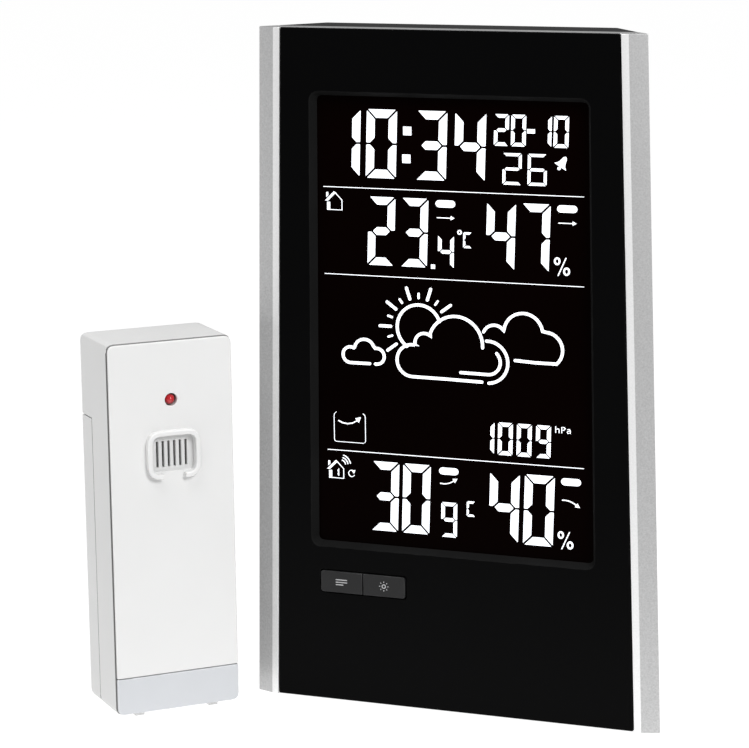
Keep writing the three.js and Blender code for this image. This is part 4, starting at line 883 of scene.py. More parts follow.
def merged_copy(node: str) -> Shape:
    """Copies a node's shape with its points merged and its flat areas joined.

    Args:
        node: the node.

    Returns:
        The copy.
    """
    bm = bmesh.new()
    bm.from_mesh(frame["nodes"][node].data)
    bmesh.ops.remove_doubles(bm, verts=bm.verts, dist=MERGE_DISTANCE)
    bmesh.ops.dissolve_degenerate(bm, dist=SLIVER_LENGTH, edges=bm.edges)
    bmesh.ops.dissolve_limit(
        bm,
        angle_limit=LEVEL_ANGLE,
        use_dissolve_boundaries=False,
        verts=bm.verts,
        edges=bm.edges,
        delimit=set(),
    )
    return bm


# ---- The screen's marks ----


class Segment(Enum):
    """The seven bars of a digit."""

    TOP = "top"
    UPPER_RIGHT = "upper_right"
    LOWER_RIGHT = "lower_right"
    BOTTOM = "bottom"
    LOWER_LEFT = "lower_left"
    UPPER_LEFT = "upper_left"
    MIDDLE = "middle"


S = Segment
LIT_BARS: dict[str, tuple[Segment, ...]] = {
    "0": (S.TOP, S.UPPER_RIGHT, S.LOWER_RIGHT, S.BOTTOM, S.LOWER_LEFT, S.UPPER_LEFT),
    "1": (S.UPPER_RIGHT, S.LOWER_RIGHT),
    "2": (S.TOP, S.UPPER_RIGHT, S.MIDDLE, S.LOWER_LEFT, S.BOTTOM),
    "3": (S.TOP, S.UPPER_RIGHT, S.MIDDLE, S.LOWER_RIGHT, S.BOTTOM),
    "4": (S.UPPER_LEFT, S.MIDDLE, S.UPPER_RIGHT, S.LOWER_RIGHT),
    "6": (S.TOP, S.UPPER_LEFT, S.MIDDLE, S.LOWER_LEFT, S.LOWER_RIGHT, S.BOTTOM),
    "7": (S.TOP, S.UPPER_RIGHT, S.LOWER_RIGHT),
    "9": (S.TOP, S.UPPER_LEFT, S.UPPER_RIGHT, S.MIDDLE, S.LOWER_RIGHT, S.BOTTOM),
    "C": (S.TOP, S.UPPER_LEFT, S.LOWER_LEFT, S.BOTTOM),
}


@dataclass(frozen=True)
class DigitStyle:
    """One size of digit, in millimetres."""

    width: float
    height: float
    stroke: float
    gap: float
    slant: float = 0.035
    soft: float = 0.14

    def outline(self, segment: Segment) -> list[Point]:
        """Gives a bar's corners in an upright cell.

        Args:
            segment: the bar.

        Returns:
            Its corners, from the cell's lower left.
        """
        w, h, t = self.width, self.height, self.stroke
        half, low, high = h / 2.0, h / 2.0 - t / 2.0, h / 2.0 + t / 2.0
        return {
            S.TOP: [(0, h), (w, h), (w - t, h - t), (t, h - t)],
            S.BOTTOM: [(0, 0), (t, t), (w - t, t), (w, 0)],
            S.UPPER_RIGHT: [(w, h), (w, half), (w - t / 2, half), (w - t, high), (w - t, h - t)],
            S.LOWER_RIGHT: [(w, half), (w, 0), (w - t, t), (w - t, low), (w - t / 2, half)],
            S.LOWER_LEFT: [(0, half), (t / 2, half), (t, low), (t, t), (0, 0)],
            S.UPPER_LEFT: [(0, h), (t, h - t), (t, high), (t / 2, half), (0, half)],
            S.MIDDLE: [
                (t / 2, half),
                (t, high),
                (w - t, high),
                (w - t / 2, half),
                (w - t, low),
                (t, low),
            ],
        }[segment]


class FilmSheet:
    """Thin flat marks on one upright plane, drawn in the unit's own millimetres and then given thickness."""

    def __init__(self, origin: Vector, front: float, thickness: float) -> None:
        """Starts an empty sheet.

        Args:
            origin: the unit's origin, in metres.
            front: how far the marks' front lies behind the origin, in millimetres.
            thickness: the marks' thickness in millimetres.
        """
        self.bm = bmesh.new()
        self.origin = origin
        self.front = front
        self.thickness = thickness

    def spot(self, place: Point) -> Vector:
        """Returns a drawn point in the frame."""
        return self.origin + Vector((mm(place[0]), mm(self.front), mm(place[1])))

    def face(self, corners: list[Point]) -> bmesh.types.BMFace:
        """Adds a face with these corners, turned to the front."""
        made = self.bm.faces.new([self.bm.verts.new(self.spot(corner)) for corner in corners])
        made.normal_update()
        if made.normal.y > 0.0:
            made.normal_flip()
        return made

    def draw_in(self, face: bmesh.types.BMFace, width: float) -> list[bmesh.types.BMFace]:
        """Draws a face's edges in by a width and returns the rim that it leaves."""
        return bmesh.ops.inset_region(
            self.bm, faces=[face], thickness=mm(width), use_even_offset=True, use_boundary=True
        )["faces"]

    def patch(self, corners: list[Point], inset: float = 0.0, soft: float = 0.0) -> None:
        """Draws a filled patch.

        Args:
            corners: its corners in millimetres.
            inset: how far its edges are drawn in.
            soft: how much its corners are rounded.
        """
        face = self.face(corners)
        if inset > 0.0:
            bmesh.ops.delete(self.bm, geom=self.draw_in(face, inset), context="FACES")
        if soft > 0.0 and face.is_valid:
            bevel(self.bm, list(face.verts), mm(soft), 2, corners=True)

    def digit(self, shown: str, place: Point, style: DigitStyle) -> None:
        """Draws one digit.

        Args:
            shown: the digit, or C for the unit of temperature.
            place: its lower left corner in millimetres.
            style: its size.
        """
        for segment in LIT_BARS[shown]:
            corners = [
                (place[0] + x + style.slant * (z - style.height / 2.0), place[1] + z)
                for x, z in style.outline(segment)
            ]
            self.patch(corners, style.gap / 2.0, style.soft)

    def number(self, shown: str, places: tuple[float, ...], base: float, style: DigitStyle) -> None:
        """Draws the digits of one number.

        Args:
            shown: the digits.
            places: the left side of each at its middle height, in millimetres.
            base: their foot.
            style: their size.
        """
        for character, left in zip(shown, places):
            self.digit(character, (left, base), style)

    def line(self, path: list[Point], width: float, rounded: bool = True) -> None:
        """Draws a line of even width along a path by extruding its end again and again.

        Args:
            path: the points in millimetres.
            width: the line's width.
            rounded: whether its ends are round.
        """
        bm = self.bm
        half = width / 2.0
        points = [Vector((x, z)) for x, z in path]
        stations: list[Station] = []
        for index, point in enumerate(points):
            ways = []
            if index > 0:
                ways.append((point - points[index - 1]).normalized())
            if index + 1 < len(points):
                ways.append((points[index + 1] - point).normalized())
            sides = [Vector((-way.y, way.x)) for way in ways]
            side = sum(sides, Vector((0.0, 0.0))).normalized()
            reach = half / max(LEAST_MITRE, side.dot(sides[0]))
            stations.append((point, side, reach))
        if rounded:
            start = self.round_end(points[1], points[0], half)[::-1]
            stations = start + stations[1:-1] + self.round_end(points[-2], points[-1], half)
        point, side, reach = stations[0]
        edge = bm.edges.new([bm.verts.new(self.spot(point + side * s * reach)) for s in (1.0, -1.0)])
        for point, side, reach in stations[1:]:
            grown = bmesh.ops.extrude_edge_only(bm, edges=[edge])["geom"]
            edge = next(part for part in grown if isinstance(part, bmesh.types.BMEdge))
            ends = list(edge.verts)
            targets = [self.spot(point + side * s * reach) for s in (1.0, -1.0)]
            straight = (ends[0].co - targets[0]).length + (ends[1].co - targets[1]).length
            crossed = (ends[0].co - targets[1]).length + (ends[1].co - targets[0]).length
            if crossed < straight:
                targets.reverse()
            for vert, target in zip(ends, targets):
                vert.co = target

    def round_end(self, inner: Vector, tip: Vector, half: float) -> list[Station]:
        """Gives the narrowing stations of a line's round end.

        Args:
            inner: the path's point before its end.
            tip: the path's end.
            half: half the line's width.

        Returns:
            The stations, from the full width to the tip.
        """
        way = (tip - inner).normalized()
        side = Vector((-way.y, way.x))
        return [
            (tip + way * half * math.sin(angle), side, half * math.cos(angle))
            for angle in map(math.radians, ROUND_END_ANGLES)
        ]

    def disc(self, centre: Point, radius: float, hole: float = 0.0, tall: float = 1.0) -> None:
        """Draws a disc or a ring.

        Args:
            centre: its centre in millimetres.
            radius: its radius.
            hole: the radius of its hole, or 0.
            tall: how much taller than wide it is.
        """
        angles = [math.tau * step / DISC_STEPS for step in range(DISC_STEPS)]
        face = self.face(
            [(centre[0] + radius * math.cos(a), centre[1] + tall * radius * math.sin(a)) for a in angles]
        )
        if hole > 0.0:
            self.draw_in(face, radius - hole)
            bmesh.ops.delete(self.bm, geom=[face], context="FACES")

    def arrow_head(self, tip: Point, angle: float, size: float) -> None:
        """Draws an arrow's head.

        Args:
            tip: its point in millimetres.
            angle: where it points, in degrees from the right.
            size: its length.
        """
        way = heading(angle)
        side = Vector((-way.y, way.x)) * size * ARROW_HALF_WIDTH
        end = Vector(tip)
        back = end - way * size
        self.patch([tuple(end), tuple(back + side), tuple(back - side)])

    def solid(self) -> Shape:
        """Gives the drawn marks their thickness.

        Returns:
            The closed shape.
        """
        bm = self.bm
        bmesh.ops.remove_doubles(bm, verts=bm.verts, dist=MARK_MERGE)
        bmesh.ops.dissolve_degenerate(bm, dist=MARK_SLIVER, edges=bm.edges)
        bmesh.ops.recalc_face_normals(bm, faces=bm.faces)
        for face in bm.faces:
            if face.normal.y > 0.0:
                face.normal_flip()
        grown = bmesh.ops.extrude_face_region(bm, geom=list(bm.faces), use_keep_orig=True)
        lifted = [part for part in grown["geom"] if isinstance(part, bmesh.types.BMVert)]
        bmesh.ops.translate(bm, verts=lifted, vec=Vector((0.0, mm(self.thickness), 0.0)))
        bmesh.ops.recalc_face_normals(bm, faces=bm.faces)
        return bm


def heading(angle: float) -> Vector:
    """Returns the flat direction at an angle in degrees from the right."""
    return Vector((math.cos(math.radians(angle)), math.sin(math.radians(angle))))


def arc(centre: Point, radius: float, start: float, end: float, steps: int = 12) -> list[Point]:
    """Gives the points of an arc.

    Args:
        centre: its centre.
        radius: its radius.
        start: the angle where it starts, in degrees.
        end: the angle where it ends.
        steps: how many steps it takes.

    Returns:
        The points.
    """
    angles = [math.radians(start + (end - start) * step / steps) for step in range(steps + 1)]
    return [(centre[0] + radius * math.cos(a), centre[1] + radius * math.sin(a)) for a in angles]


@dataclass
class Assembly:
    """A sub-assembly, which adds its pieces with the scene's maker; its own lengths are in millimetres."""

    maker: Maker


@dataclass
class Screen(Assembly):
    """The lit marks of the screen, placed in the unit's millimetres: x to the right, z up."""

    origin: Vector
    front: float = 3.06
    thickness: float = 0.24
    clock: DigitStyle = DigitStyle(9.85, 20.4, 3.05, 0.62)
    date: DigitStyle = DigitStyle(4.7, 9.3, 1.35, 0.36, 0.03, 0.07)
    year: DigitStyle = DigitStyle(5.95, 9.3, 1.15, 0.34, 0.02, 0.07)
    indoor: DigitStyle = DigitStyle(8.8, 20.5, 2.85, 0.62)
    humidity: DigitStyle = DigitStyle(9.2, 20.1, 2.9, 0.62)
    tenth: DigitStyle = DigitStyle(5.15, 9.9, 1.4, 0.36, 0.02, 0.07)
    degree: DigitStyle = DigitStyle(2.85, 4.75, 0.85, 0.24, 0.02, 0.05)
    pressure: DigitStyle = DigitStyle(4.8, 9.9, 1.5, 0.38, 0.025, 0.07)
    outdoor: DigitStyle = DigitStyle(9.1, 21.4, 2.95, 0.62)
    outdoor_humidity: DigitStyle = DigitStyle(9.6, 21.4, 3.0, 0.62)
    outdoor_tenth: DigitStyle = DigitStyle(5.2, 10.7, 1.4, 0.36, 0.02, 0.07)
    channel: DigitStyle = DigitStyle(1.9, 2.5, 0.5, 0.1, 0.0, 0.03)
    fine: float = 0.22
    rule: float = 0.16
    bold: float = 0.86
    line_half: float = 39.65
    line_heights: tuple[float, ...] = (153.93, 128.39, 75.86)

    def sheet(self) -> FilmSheet:
        """Returns an empty sheet on the screen's plane."""
        return FilmSheet(self.origin, self.front, self.thickness)

    def finish_sheet(self, name: str, sheet: FilmSheet) -> None:
        """Adds a drawn sheet as a lit piece of the unit."""
        self.maker.add(name, sheet.solid(), LIT, "display_unit", LIT.name)

    def build(self) -> None:
        """Adds all the marks."""
        self.build_lines()
        self.build_clock()
        self.build_indoor()
        self.build_forecast()
        self.build_pressure()
        self.build_outdoor()

    def build_lines(self) -> None:
        """Adds the thin lines between the rows."""
        sheet = self.sheet()
        for height in self.line_heights:
            sheet.line([(-self.line_half, height), (0.0, height), (self.line_half, height)], self.rule, False)
        self.finish_sheet("screen_lines", sheet)

    def build_clock(self) -> None:
        """Adds the time, the date, the year's last digits and the alarm bell."""
        sheet = self.sheet()
        sheet.number("1034", (-37.55, -26.3, -10.95, 0.8), 156.7, self.clock)
        for centre in ((-13.35, 170.85), (-13.72, 162.85)):
            sheet.line([(centre[0], centre[1] - 1.22), (centre[0], centre[1] + 1.22)], 2.45, False)
        sheet.number("20", (12.85, 17.95), 167.35, self.date)
        sheet.line([(22.85, 171.9), (25.15, 171.9)], 1.2, False)
        sheet.number("10", (25.55, 30.6), 167.35, self.date)
        sheet.number("26", (15.35, 22.85), 156.4, self.year)
        self.draw_bell(sheet, (33.15, 163.1), 2.0, -32.0)
        self.finish_sheet("screen_clock", sheet)

    def draw_bell(self, sheet: FilmSheet, centre: Point, size: float, lean: float) -> None:
        """Draws a small bell.

        Args:
            sheet: the sheet.
            centre: the bell's centre.
            size: half its height.
            lean: how far it leans, in degrees.
        """
        half = [(0.0, 1.12), (0.2, 1.02), (0.34, 0.72), (0.46, 0.2), (0.66, -0.2), (1.0, -0.52)]
        outline = half + [(-x, z) for x, z in reversed(half[1:])]
        turn = Matrix.Rotation(math.radians(lean), 2)
        middle = Vector(centre)
        sheet.patch([tuple(middle + turn @ Vector(point) * size) for point in outline])
        sheet.disc(tuple(middle + turn @ Vector((0.0, -0.82)) * size), size * 0.24)

    def draw_house(self, sheet: FilmSheet, corner: Point) -> None:
        """Draws a small house with a chimney.

        Args:
            sheet: the sheet.
            corner: the lower left corner of its walls.
        """
        x, z = corner
        roof = [(x + 0.95, z + 0.1), (x + 4.65, z + 0.1), (x + 4.65, z + 3.0), (x + 2.6, z + 5.05)]
        sheet.line(roof, self.rule, False)
        sheet.patch([(x, z), (x + 0.9, z), (x + 0.9, z + 2.35), (x, z + 2.35)])
        sheet.patch([(x - 0.65, z + 2.7), (x + 0.3, z + 2.7), (x + 2.75, z + 5.1), (x + 2.15, z + 5.45)])
        sheet.patch([(x - 0.2, z + 3.75), (x + 0.35, z + 4.25), (x + 0.35, z + 5.2), (x - 0.2, z + 5.2)])

    def draw_trend(self, sheet: FilmSheet, centre: Point, rise: float) -> None:
        """Draws a bare rounded plate with an arrow under it.

        Args:
            sheet: the sheet.
            centre: the plate's centre.
            rise: the arrow's rise over its length: 0 is level.
        """
        x, z = centre
        sheet.line([(x - 1.95, z), (x, z), (x + 1.95, z)], 2.05)
        if rise == 0.0:
            sheet.line([(x - 2.55, z - 4.05), (x + 1.9, z - 4.05)], self.fine)
            sheet.arrow_head((x + 2.75, z - 4.05), 0.0, 1.15)
            return
        drop, bend, lean = (0.0, 0.55, 32.0) if rise > 0.0 else (1.7, -0.5, -32.0)
        shares = [step / 8.0 for step in range(9)]
        path = [
            (x - 2.6 + 4.6 * share, z - 3.75 - drop + rise * share - bend * math.sin(math.pi * share))
            for share in shares
        ]
        sheet.line(path, self.fine * 1.25)
        sheet.arrow_head(tuple(Vector(path[-1]) + heading(lean) * 0.75), lean, 1.3)

    def draw_percent(self, sheet: FilmSheet, corner: Point) -> None:
        """Draws a percent sign from its lower left corner."""
        x, z = corner
        sheet.disc((x + 0.95, z + 4.05), 0.94, 0.46, 1.18)
        sheet.disc((x + 3.75, z + 1.2), 1.0, 0.5, 1.18)
        sheet.line([(x + 1.2, z - 0.1), (x + 3.6, z + 5.1)], 0.3, False)

    def draw_degree(self, sheet: FilmSheet, centre: Point) -> None:
        """Draws the small ring of a temperature's unit."""
        sheet.disc(centre, 0.68, 0.34)

    def build_indoor(self) -> None:
        """Adds the indoor row: house, temperature and humidity with their trends."""
        sheet = self.sheet()
        self.draw_house(sheet, (-38.55, 147.15))
        sheet.number("23", (-26.1, -15.95), 131.35, self.indoor)
        sheet.patch([(-6.45, 131.4), (-5.25, 131.4), (-5.25, 132.6), (-6.45, 132.6)])
        sheet.digit("4", (-4.45, 131.5), self.tenth)
        self.draw_degree(sheet, (2.35, 142.3))
        sheet.digit("C", (3.35, 137.75), self.degree)
        self.draw_trend(sheet, (-1.9, 150.3), 0.0)
        sheet.number("47", (10.2, 20.55), 131.6, self.humidity)
        self.draw_trend(sheet, (34.7, 150.3), 0.0)
        self.draw_percent(sheet, (30.75, 131.3))
        self.finish_sheet("screen_indoor", sheet)

    def build_forecast(self) -> None:
        """Adds the forecast: a sun behind a cloud, with a cloud on either side."""
        sheet = self.sheet()
        width = self.bold
        sun, sun_radius = (-10.4, 113.85), 6.75
        sheet.line(arc(sun, sun_radius, 19.0, 236.0, 28), width)
        for step in range(11):
            far, ray_width = (12.1, width) if step % 2 == 0 else (10.0, width * 0.72)
            way = heading(36.0 + 18.0 * step)
            sheet.line([tuple(Vector(sun) + way * reach) for reach in (8.75, far)], ray_width)
        cloud = [(8.85, 99.1), (-2.0, 99.3)]
        cloud += arc((-12.6, 104.1), 4.72, 270.0, 72.0, 16)
        cloud += arc((-8.75, 109.4), 2.95, 196.0, 50.0, 10)
        cloud += arc((0.85, 109.55), 8.3, 160.0, -3.0, 18)
        sheet.line(cloud, width)
        sheet.line(arc((10.65, 105.05), 6.15, 93.0, -87.0, 16), width)
        sheet.line([(2.4, 101.5), (7.0, 101.45)] + arc((10.8, 105.1), 3.7, 268.0, 405.0, 12), width)
        small = [(-25.9, 102.4), (-28.5, 102.38)]
        small += arc((-31.95, 104.72), 2.35, 268.0, 62.0, 12)
        small += arc((-27.5, 106.4), 3.15, 168.0, 22.0, 10)
        small += arc((-23.65, 104.72), 2.35, 100.0, -102.0, 12)
        sheet.line(small, width)
        right = arc((12.75, 112.35), 3.6, 156.0, 38.0, 9)
        right += arc((21.5, 113.95), 5.9, 172.0, 10.0, 14)
        right += arc((28.2, 109.65), 5.1, 88.0, -50.0, 12)
        right += [(25.0, 105.75), (19.0, 106.05)]
        sheet.line(right, width)
        self.finish_sheet("screen_forecast", sheet)

    def build_pressure(self) -> None:
        """Adds the air pressure, its unit and its trend in an open frame."""
        sheet = self.sheet()
        middle = -32.5
        box = [(-36.75, 87.3), (-37.35, 86.75), (-37.45, 86.2), (-37.45, 79.2), (-37.3, 78.7), (-36.8, 78.45)]
        mirrored = [(2.0 * middle - x, z) for x, z in reversed(box)]
        sheet.line(box + mirrored, 0.12)
        arrow = [(-36.0, 84.75), (-34.8, 84.2), (-33.2, 84.0), (-31.6, 84.3), (-30.2, 85.1)]
        sheet.line(arrow, self.fine * 1.4)
        sheet.arrow_head((-28.95, 86.2), 41.0, 1.6)
        sheet.number("1009", (7.9, 13.5, 19.25, 25.05), 77.9, self.pressure)
        self.draw_unit(sheet, (31.2, 85.75))
        self.finish_sheet("screen_pressure", sheet)

    def draw_unit(self, sheet: FilmSheet, corner: Point) -> None:
        """Draws the unit of pressure.

        Args:
            sheet: the sheet.
            corner: the lower left corner of its first letter.
        """
        strokes = [
            [(0.0, 0.0), (0.0, 1.9)],
            [(0.26, 1.0), (0.5, 1.22), (0.8, 1.16), (0.92, 0.9), (0.92, 0.0)],
            [(1.65, 0.0), (1.65, 1.8)],
            [(1.91, 1.75), (2.3, 1.72), (2.62, 1.35), (2.3, 0.95), (1.91, 0.9)],
            [(3.15, 1.1), (3.5, 1.24), (3.85, 1.15), (3.98, 0.85), (3.98, 0.0)],
            [(3.72, 0.72), (3.35, 0.68), (3.12, 0.38), (3.35, 0.06), (3.72, 0.14)],
        ]
        for stroke in strokes:
            sheet.line([(corner[0] + x * 1.1, corner[1] + z) for x, z in stroke], 0.19, False)

    def build_outdoor(self) -> None:
        """Adds the outdoor row: house with its channel and radio waves, temperature and humidity."""
        sheet = self.sheet()
        self.draw_house(sheet, (-39.3, 67.3))
        sheet.digit("1", (-38.0, 67.95), self.channel)
        for radius in (1.5, 2.3, 3.1):
            sheet.line(arc((-35.5, 71.45), radius, 12.0, 74.0, 6), self.fine)
        sheet.line(arc((-32.1, 69.1), 0.98, 45.0, 330.0, 18), 0.17)
        sheet.arrow_head((-30.95, 70.15), 40.0, 1.0)
        sheet.number("30", (-26.15, -16.3), 52.25, self.outdoor)
        sheet.digit("9", (-4.15, 52.15), self.outdoor_tenth)
        sheet.digit("C", (3.85, 58.9), self.degree)
        self.draw_trend(sheet, (-1.55, 72.0), 1.3)
        sheet.number("40", (10.65, 21.25), 51.8, self.outdoor_humidity)
        self.draw_trend(sheet, (35.8, 71.6), -1.5)
        self.draw_percent(sheet, (31.75, 51.75))
        self.finish_sheet("screen_outdoor", sheet)


# ---- The display unit ----


CASE_SCREWS = tuple(f"case_screw_{index}" for index in range(1, 5))
REAR_KEYS = ("set", "up", "down", "channel")


@dataclass
class Casing(Assembly):
    """The display unit's outside: front panel, silver frame, rear case, battery door, stand and screws."""

    panel_round: float = 0.2
    frame_round: float = 0.22
    screw_reach: float = 3.3
    slope_low: float = 0.25
    slope_high: float = 0.8
    facet_low: float = 0.975
    facet_high: float = 0.9985
    case_round: float = 0.28
    door_round: float = 0.18
    stand_round: float = 0.25
    screw_round: float = 0.1
    panel_sharp: float = 20.0
    frame_sharp: float = 25.0
    case_sharp: float = 30.0

    def build(self) -> None:
        """Adds the casing's pieces."""
        self.build_panel()
        self.build_frame()
        self.build_case()
        self.maker.refine("battery_door", CASE_BLACK, self.door_round)
        self.maker.refine("stand_bail", CASE_BLACK, self.stand_round, 3)
        for screw in CASE_SCREWS:
            self.maker.refine(screw, STEEL, self.screw_round)

    def build_case(self) -> None:
        """Adds the rear case. Its screw holes stay sharp, because they nearly reach its sloped edges."""
        centres = [middle_of(screw) for screw in CASE_SCREWS]

        def clear_of_screws(point: Vector) -> bool:
            """Tells whether a point is away from the screw holes."""
            reach = mm(self.screw_reach)
            return all(math.hypot(point.x - screw.x, point.z - screw.z) > reach for screw in centres)

        bm = merged_copy("rear_case")
        round_edges(bm, mm(self.case_round), 3, self.case_sharp, clear_of_screws)
        self.maker.stand_in("rear_case", bm, CASE_BLACK)

    def build_panel(self) -> None:
        """Adds the polished front panel, whose slope round the screen is satin, with a lighter colour that is
        a painted sheen.
        """
        bm = merged_copy("front_panel")
        mark_polish_and_painted_light(bm, self.slope_low, self.slope_high)
        round_edges(bm, mm(self.panel_round), 3, self.panel_sharp)
        self.maker.stand_in("front_panel", bm, PIANO)

    def build_frame(self) -> None:
        """Adds the silver frame, whose narrow inner facets are polished and painted brighter, a painted
        highlight.
        """
        bm = merged_copy("front_frame")
        mark_polish_and_painted_light(bm, self.facet_low, self.facet_high)
        round_edges(bm, mm(self.frame_round), 2, self.frame_sharp)
        self.maker.stand_in("front_frame", bm, SILVER)


@dataclass
class Keys(Assembly):
    """The two front keys and the four rear keys, with their raised marks."""

    origin: Vector
    front_round: float = 0.22
    rear_round: float = 0.3
    front: float = -0.56
    mark: float = 0.08
    left_centre: Point = (-34.4, 36.6)
    right_centre: Point = (-20.9, 36.6)
    rear_front: float = -0.03
    rear_mark: float = 0.12
    bars: tuple[float, ...] = (3.4, 3.4, 2.2)
    bar_step: float = 0.75
    bar_width: float = 0.3
    sun_rays: int = 8
    ray_width: float = 0.22
    ray_reach: tuple[float, ...] = (1.1, 1.5)

    def build(self) -> None:
        """Adds the keys and their marks."""
        for side in ("left", "right"):
            self.maker.refine(f"{side}_front_key", FRONT_KEY, self.front_round, 3)
        for name in REAR_KEYS:
            self.maker.refine(f"rear_key_{name}", REAR_KEY, self.rear_round, 3)
        self.build_front_marks()
        self.build_rear_marks()

    def build_front_marks(self) -> None:
        """Adds a row of bars on the left key and a small sun on the right key."""
        left = FilmSheet(self.origin, self.front, self.mark)
        x, z = self.left_centre
        start = x - self.bars[0] / 2.0
        for step, length in enumerate(self.bars):
            height = z + self.bar_step - self.bar_step * step
            left.line([(start, height), (start + length, height)], self.bar_width)
        self.maker.add("left_front_key_mark", left.solid(), PRINT, "left_front_key", "inner_white")
        right = FilmSheet(self.origin, self.front, self.mark)
        x, z = self.right_centre
        right.disc((x, z), 0.68, 0.4)
        for step in range(self.sun_rays):
            way = heading(360.0 * step / self.sun_rays)
            ray = [(x + way.x * reach, z + way.y * reach) for reach in self.ray_reach]
            right.line(ray, self.ray_width, False)
        self.maker.add("right_front_key_mark", right.solid(), PRINT, "right_front_key", "inner_white")

    def build_rear_marks(self) -> None:
        """Adds a raised mark on each rear key."""
        for name in REAR_KEYS:
            low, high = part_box(f"rear_key_{name}")
            centre = (low + high) / 2.0
            sheet = FilmSheet(Vector((centre.x, high.y, centre.z)), self.rear_front, self.rear_mark)
            if name == "set":
                sheet.disc((0.0, 0.0), 1.0, 0.62)
            elif name == "channel":
                for shift in (-1.1, 0.0, 1.1):
                    sheet.disc((shift, 0.0), 0.36)
            else:
                up = 1.0 if name == "up" else -1.0
                sheet.patch([(-1.1, -0.7 * up), (1.1, -0.7 * up), (0.0, 0.95 * up)])
            self.maker.add(f"rear_key_{name}_mark", sheet.solid(), PRINT, f"rear_key_{name}", "rear_key_grey")


@dataclass
class Inside(Assembly):
    """What the unit's casing holds: screen stack, boards, chips and switches."""

    switch_round: float = 0.12

    def build(self) -> None:
        """Adds the inner pieces."""
        self.maker.refine_all(
            (
                ("display_glass", GLASS, 0.15, 2),
                ("display_backlight", LIGHT_GUIDE, 0.2, 2),
                ("display_holder", INNER_WHITE, 0.15, 2),
                ("display_connector_strip", RUBBER, 0.15, 2),
                ("main_board", BOARD, 0.08, 1),
                ("front_key_board", BOARD, 0.08, 1),
                ("controller_chip", CHIP, 0.1, 2),
                ("quartz_crystal", NICKEL, 0.1, 2),
                ("pressure_sensor", NICKEL, 0.1, 2),
                ("climate_sensor", INNER_WHITE, 0.1, 2),
                ("receiver_module", BOARD, 0.08, 1),
                ("receiver_antenna", COPPER, 0.0, 0),
                ("alarm_buzzer", CHIP, 0.25, 3),
            )
        )
        for side in ("left", "right"):
            self.maker.refine(f"{side}_key_switch", KNOB, self.switch_round)
        for name in REAR_KEYS:
            self.maker.refine(f"rear_key_switch_{name}", KNOB, self.switch_round)


@dataclass
class Power(Assembly):
    """The dry cells and their contacts, in the unit and in the sensor."""

    unit_contacts: tuple[str, ...] = ("minus", "plus", "left_bridge", "right_bridge")
    sensor_contacts: tuple[str, ...] = ("bridge", "plus", "minus")
    end_share: float = 0.93
    end_depth: float = 0.2
    cell_round: float = 0.3
    cell_sharp: float = 50.0

    def build(self) -> None:
        """Adds the cells and the contacts."""
        for index in range(1, 4):
            self.build_cell(f"battery_{index}")
        for side in ("left", "right"):
            self.build_cell(f"sensor_battery_{side}")
        for name in self.unit_contacts:
            self.maker.refine(f"battery_contact_{name}", NICKEL, 0.0)
        for name in self.sensor_contacts:
            self.maker.refine(f"sensor_contact_{name}", NICKEL, 0.0)

    def build_cell(self, node: str) -> None:
        """Adds one cell, whose mesh carries how far along it each point lies and where its bare ends are.

        Args:
            node: the cell's node.
        """
        bm = merged_copy(node)
        low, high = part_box(node)
        size = high - low
        axis = max(range(3), key=lambda index: size[index])
        centre = (low + high) / 2.0
        flat = [index for index in range(3) if index != axis]
        radius = min(size[index] for index in flat) / 2.0

        def off_axis(point: Vector) -> float:
            """Returns a point's distance from the cell's axis."""
            return math.hypot(*(point[index] - centre[index] for index in flat))

        lowest = max(off_axis(v.co) for v in bm.verts if v.co[axis] < low[axis] + mm(self.end_depth))
        highest = max(off_axis(v.co) for v in bm.verts if v.co[axis] > high[axis] - mm(self.end_depth))
        plus_high = highest < lowest
        round_edges(bm, mm(self.cell_round), 2, self.cell_sharp)
        edge = bm.faces.layers.float.get(EDGE)
        along = bm.verts.layers.float.new(ALONG)
        for vert in bm.verts:
            share = (vert.co[axis] - low[axis]) / size[axis]
            vert[along] = 1.0 - share if plus_high else share
        for face in bm.faces:
            face[edge] = 1.0 if max(off_axis(v.co) for v in face.verts) < radius * self.end_share else 0.0
        self.maker.stand_in(node, bm, CELL)


# ---- The outdoor sensor ----


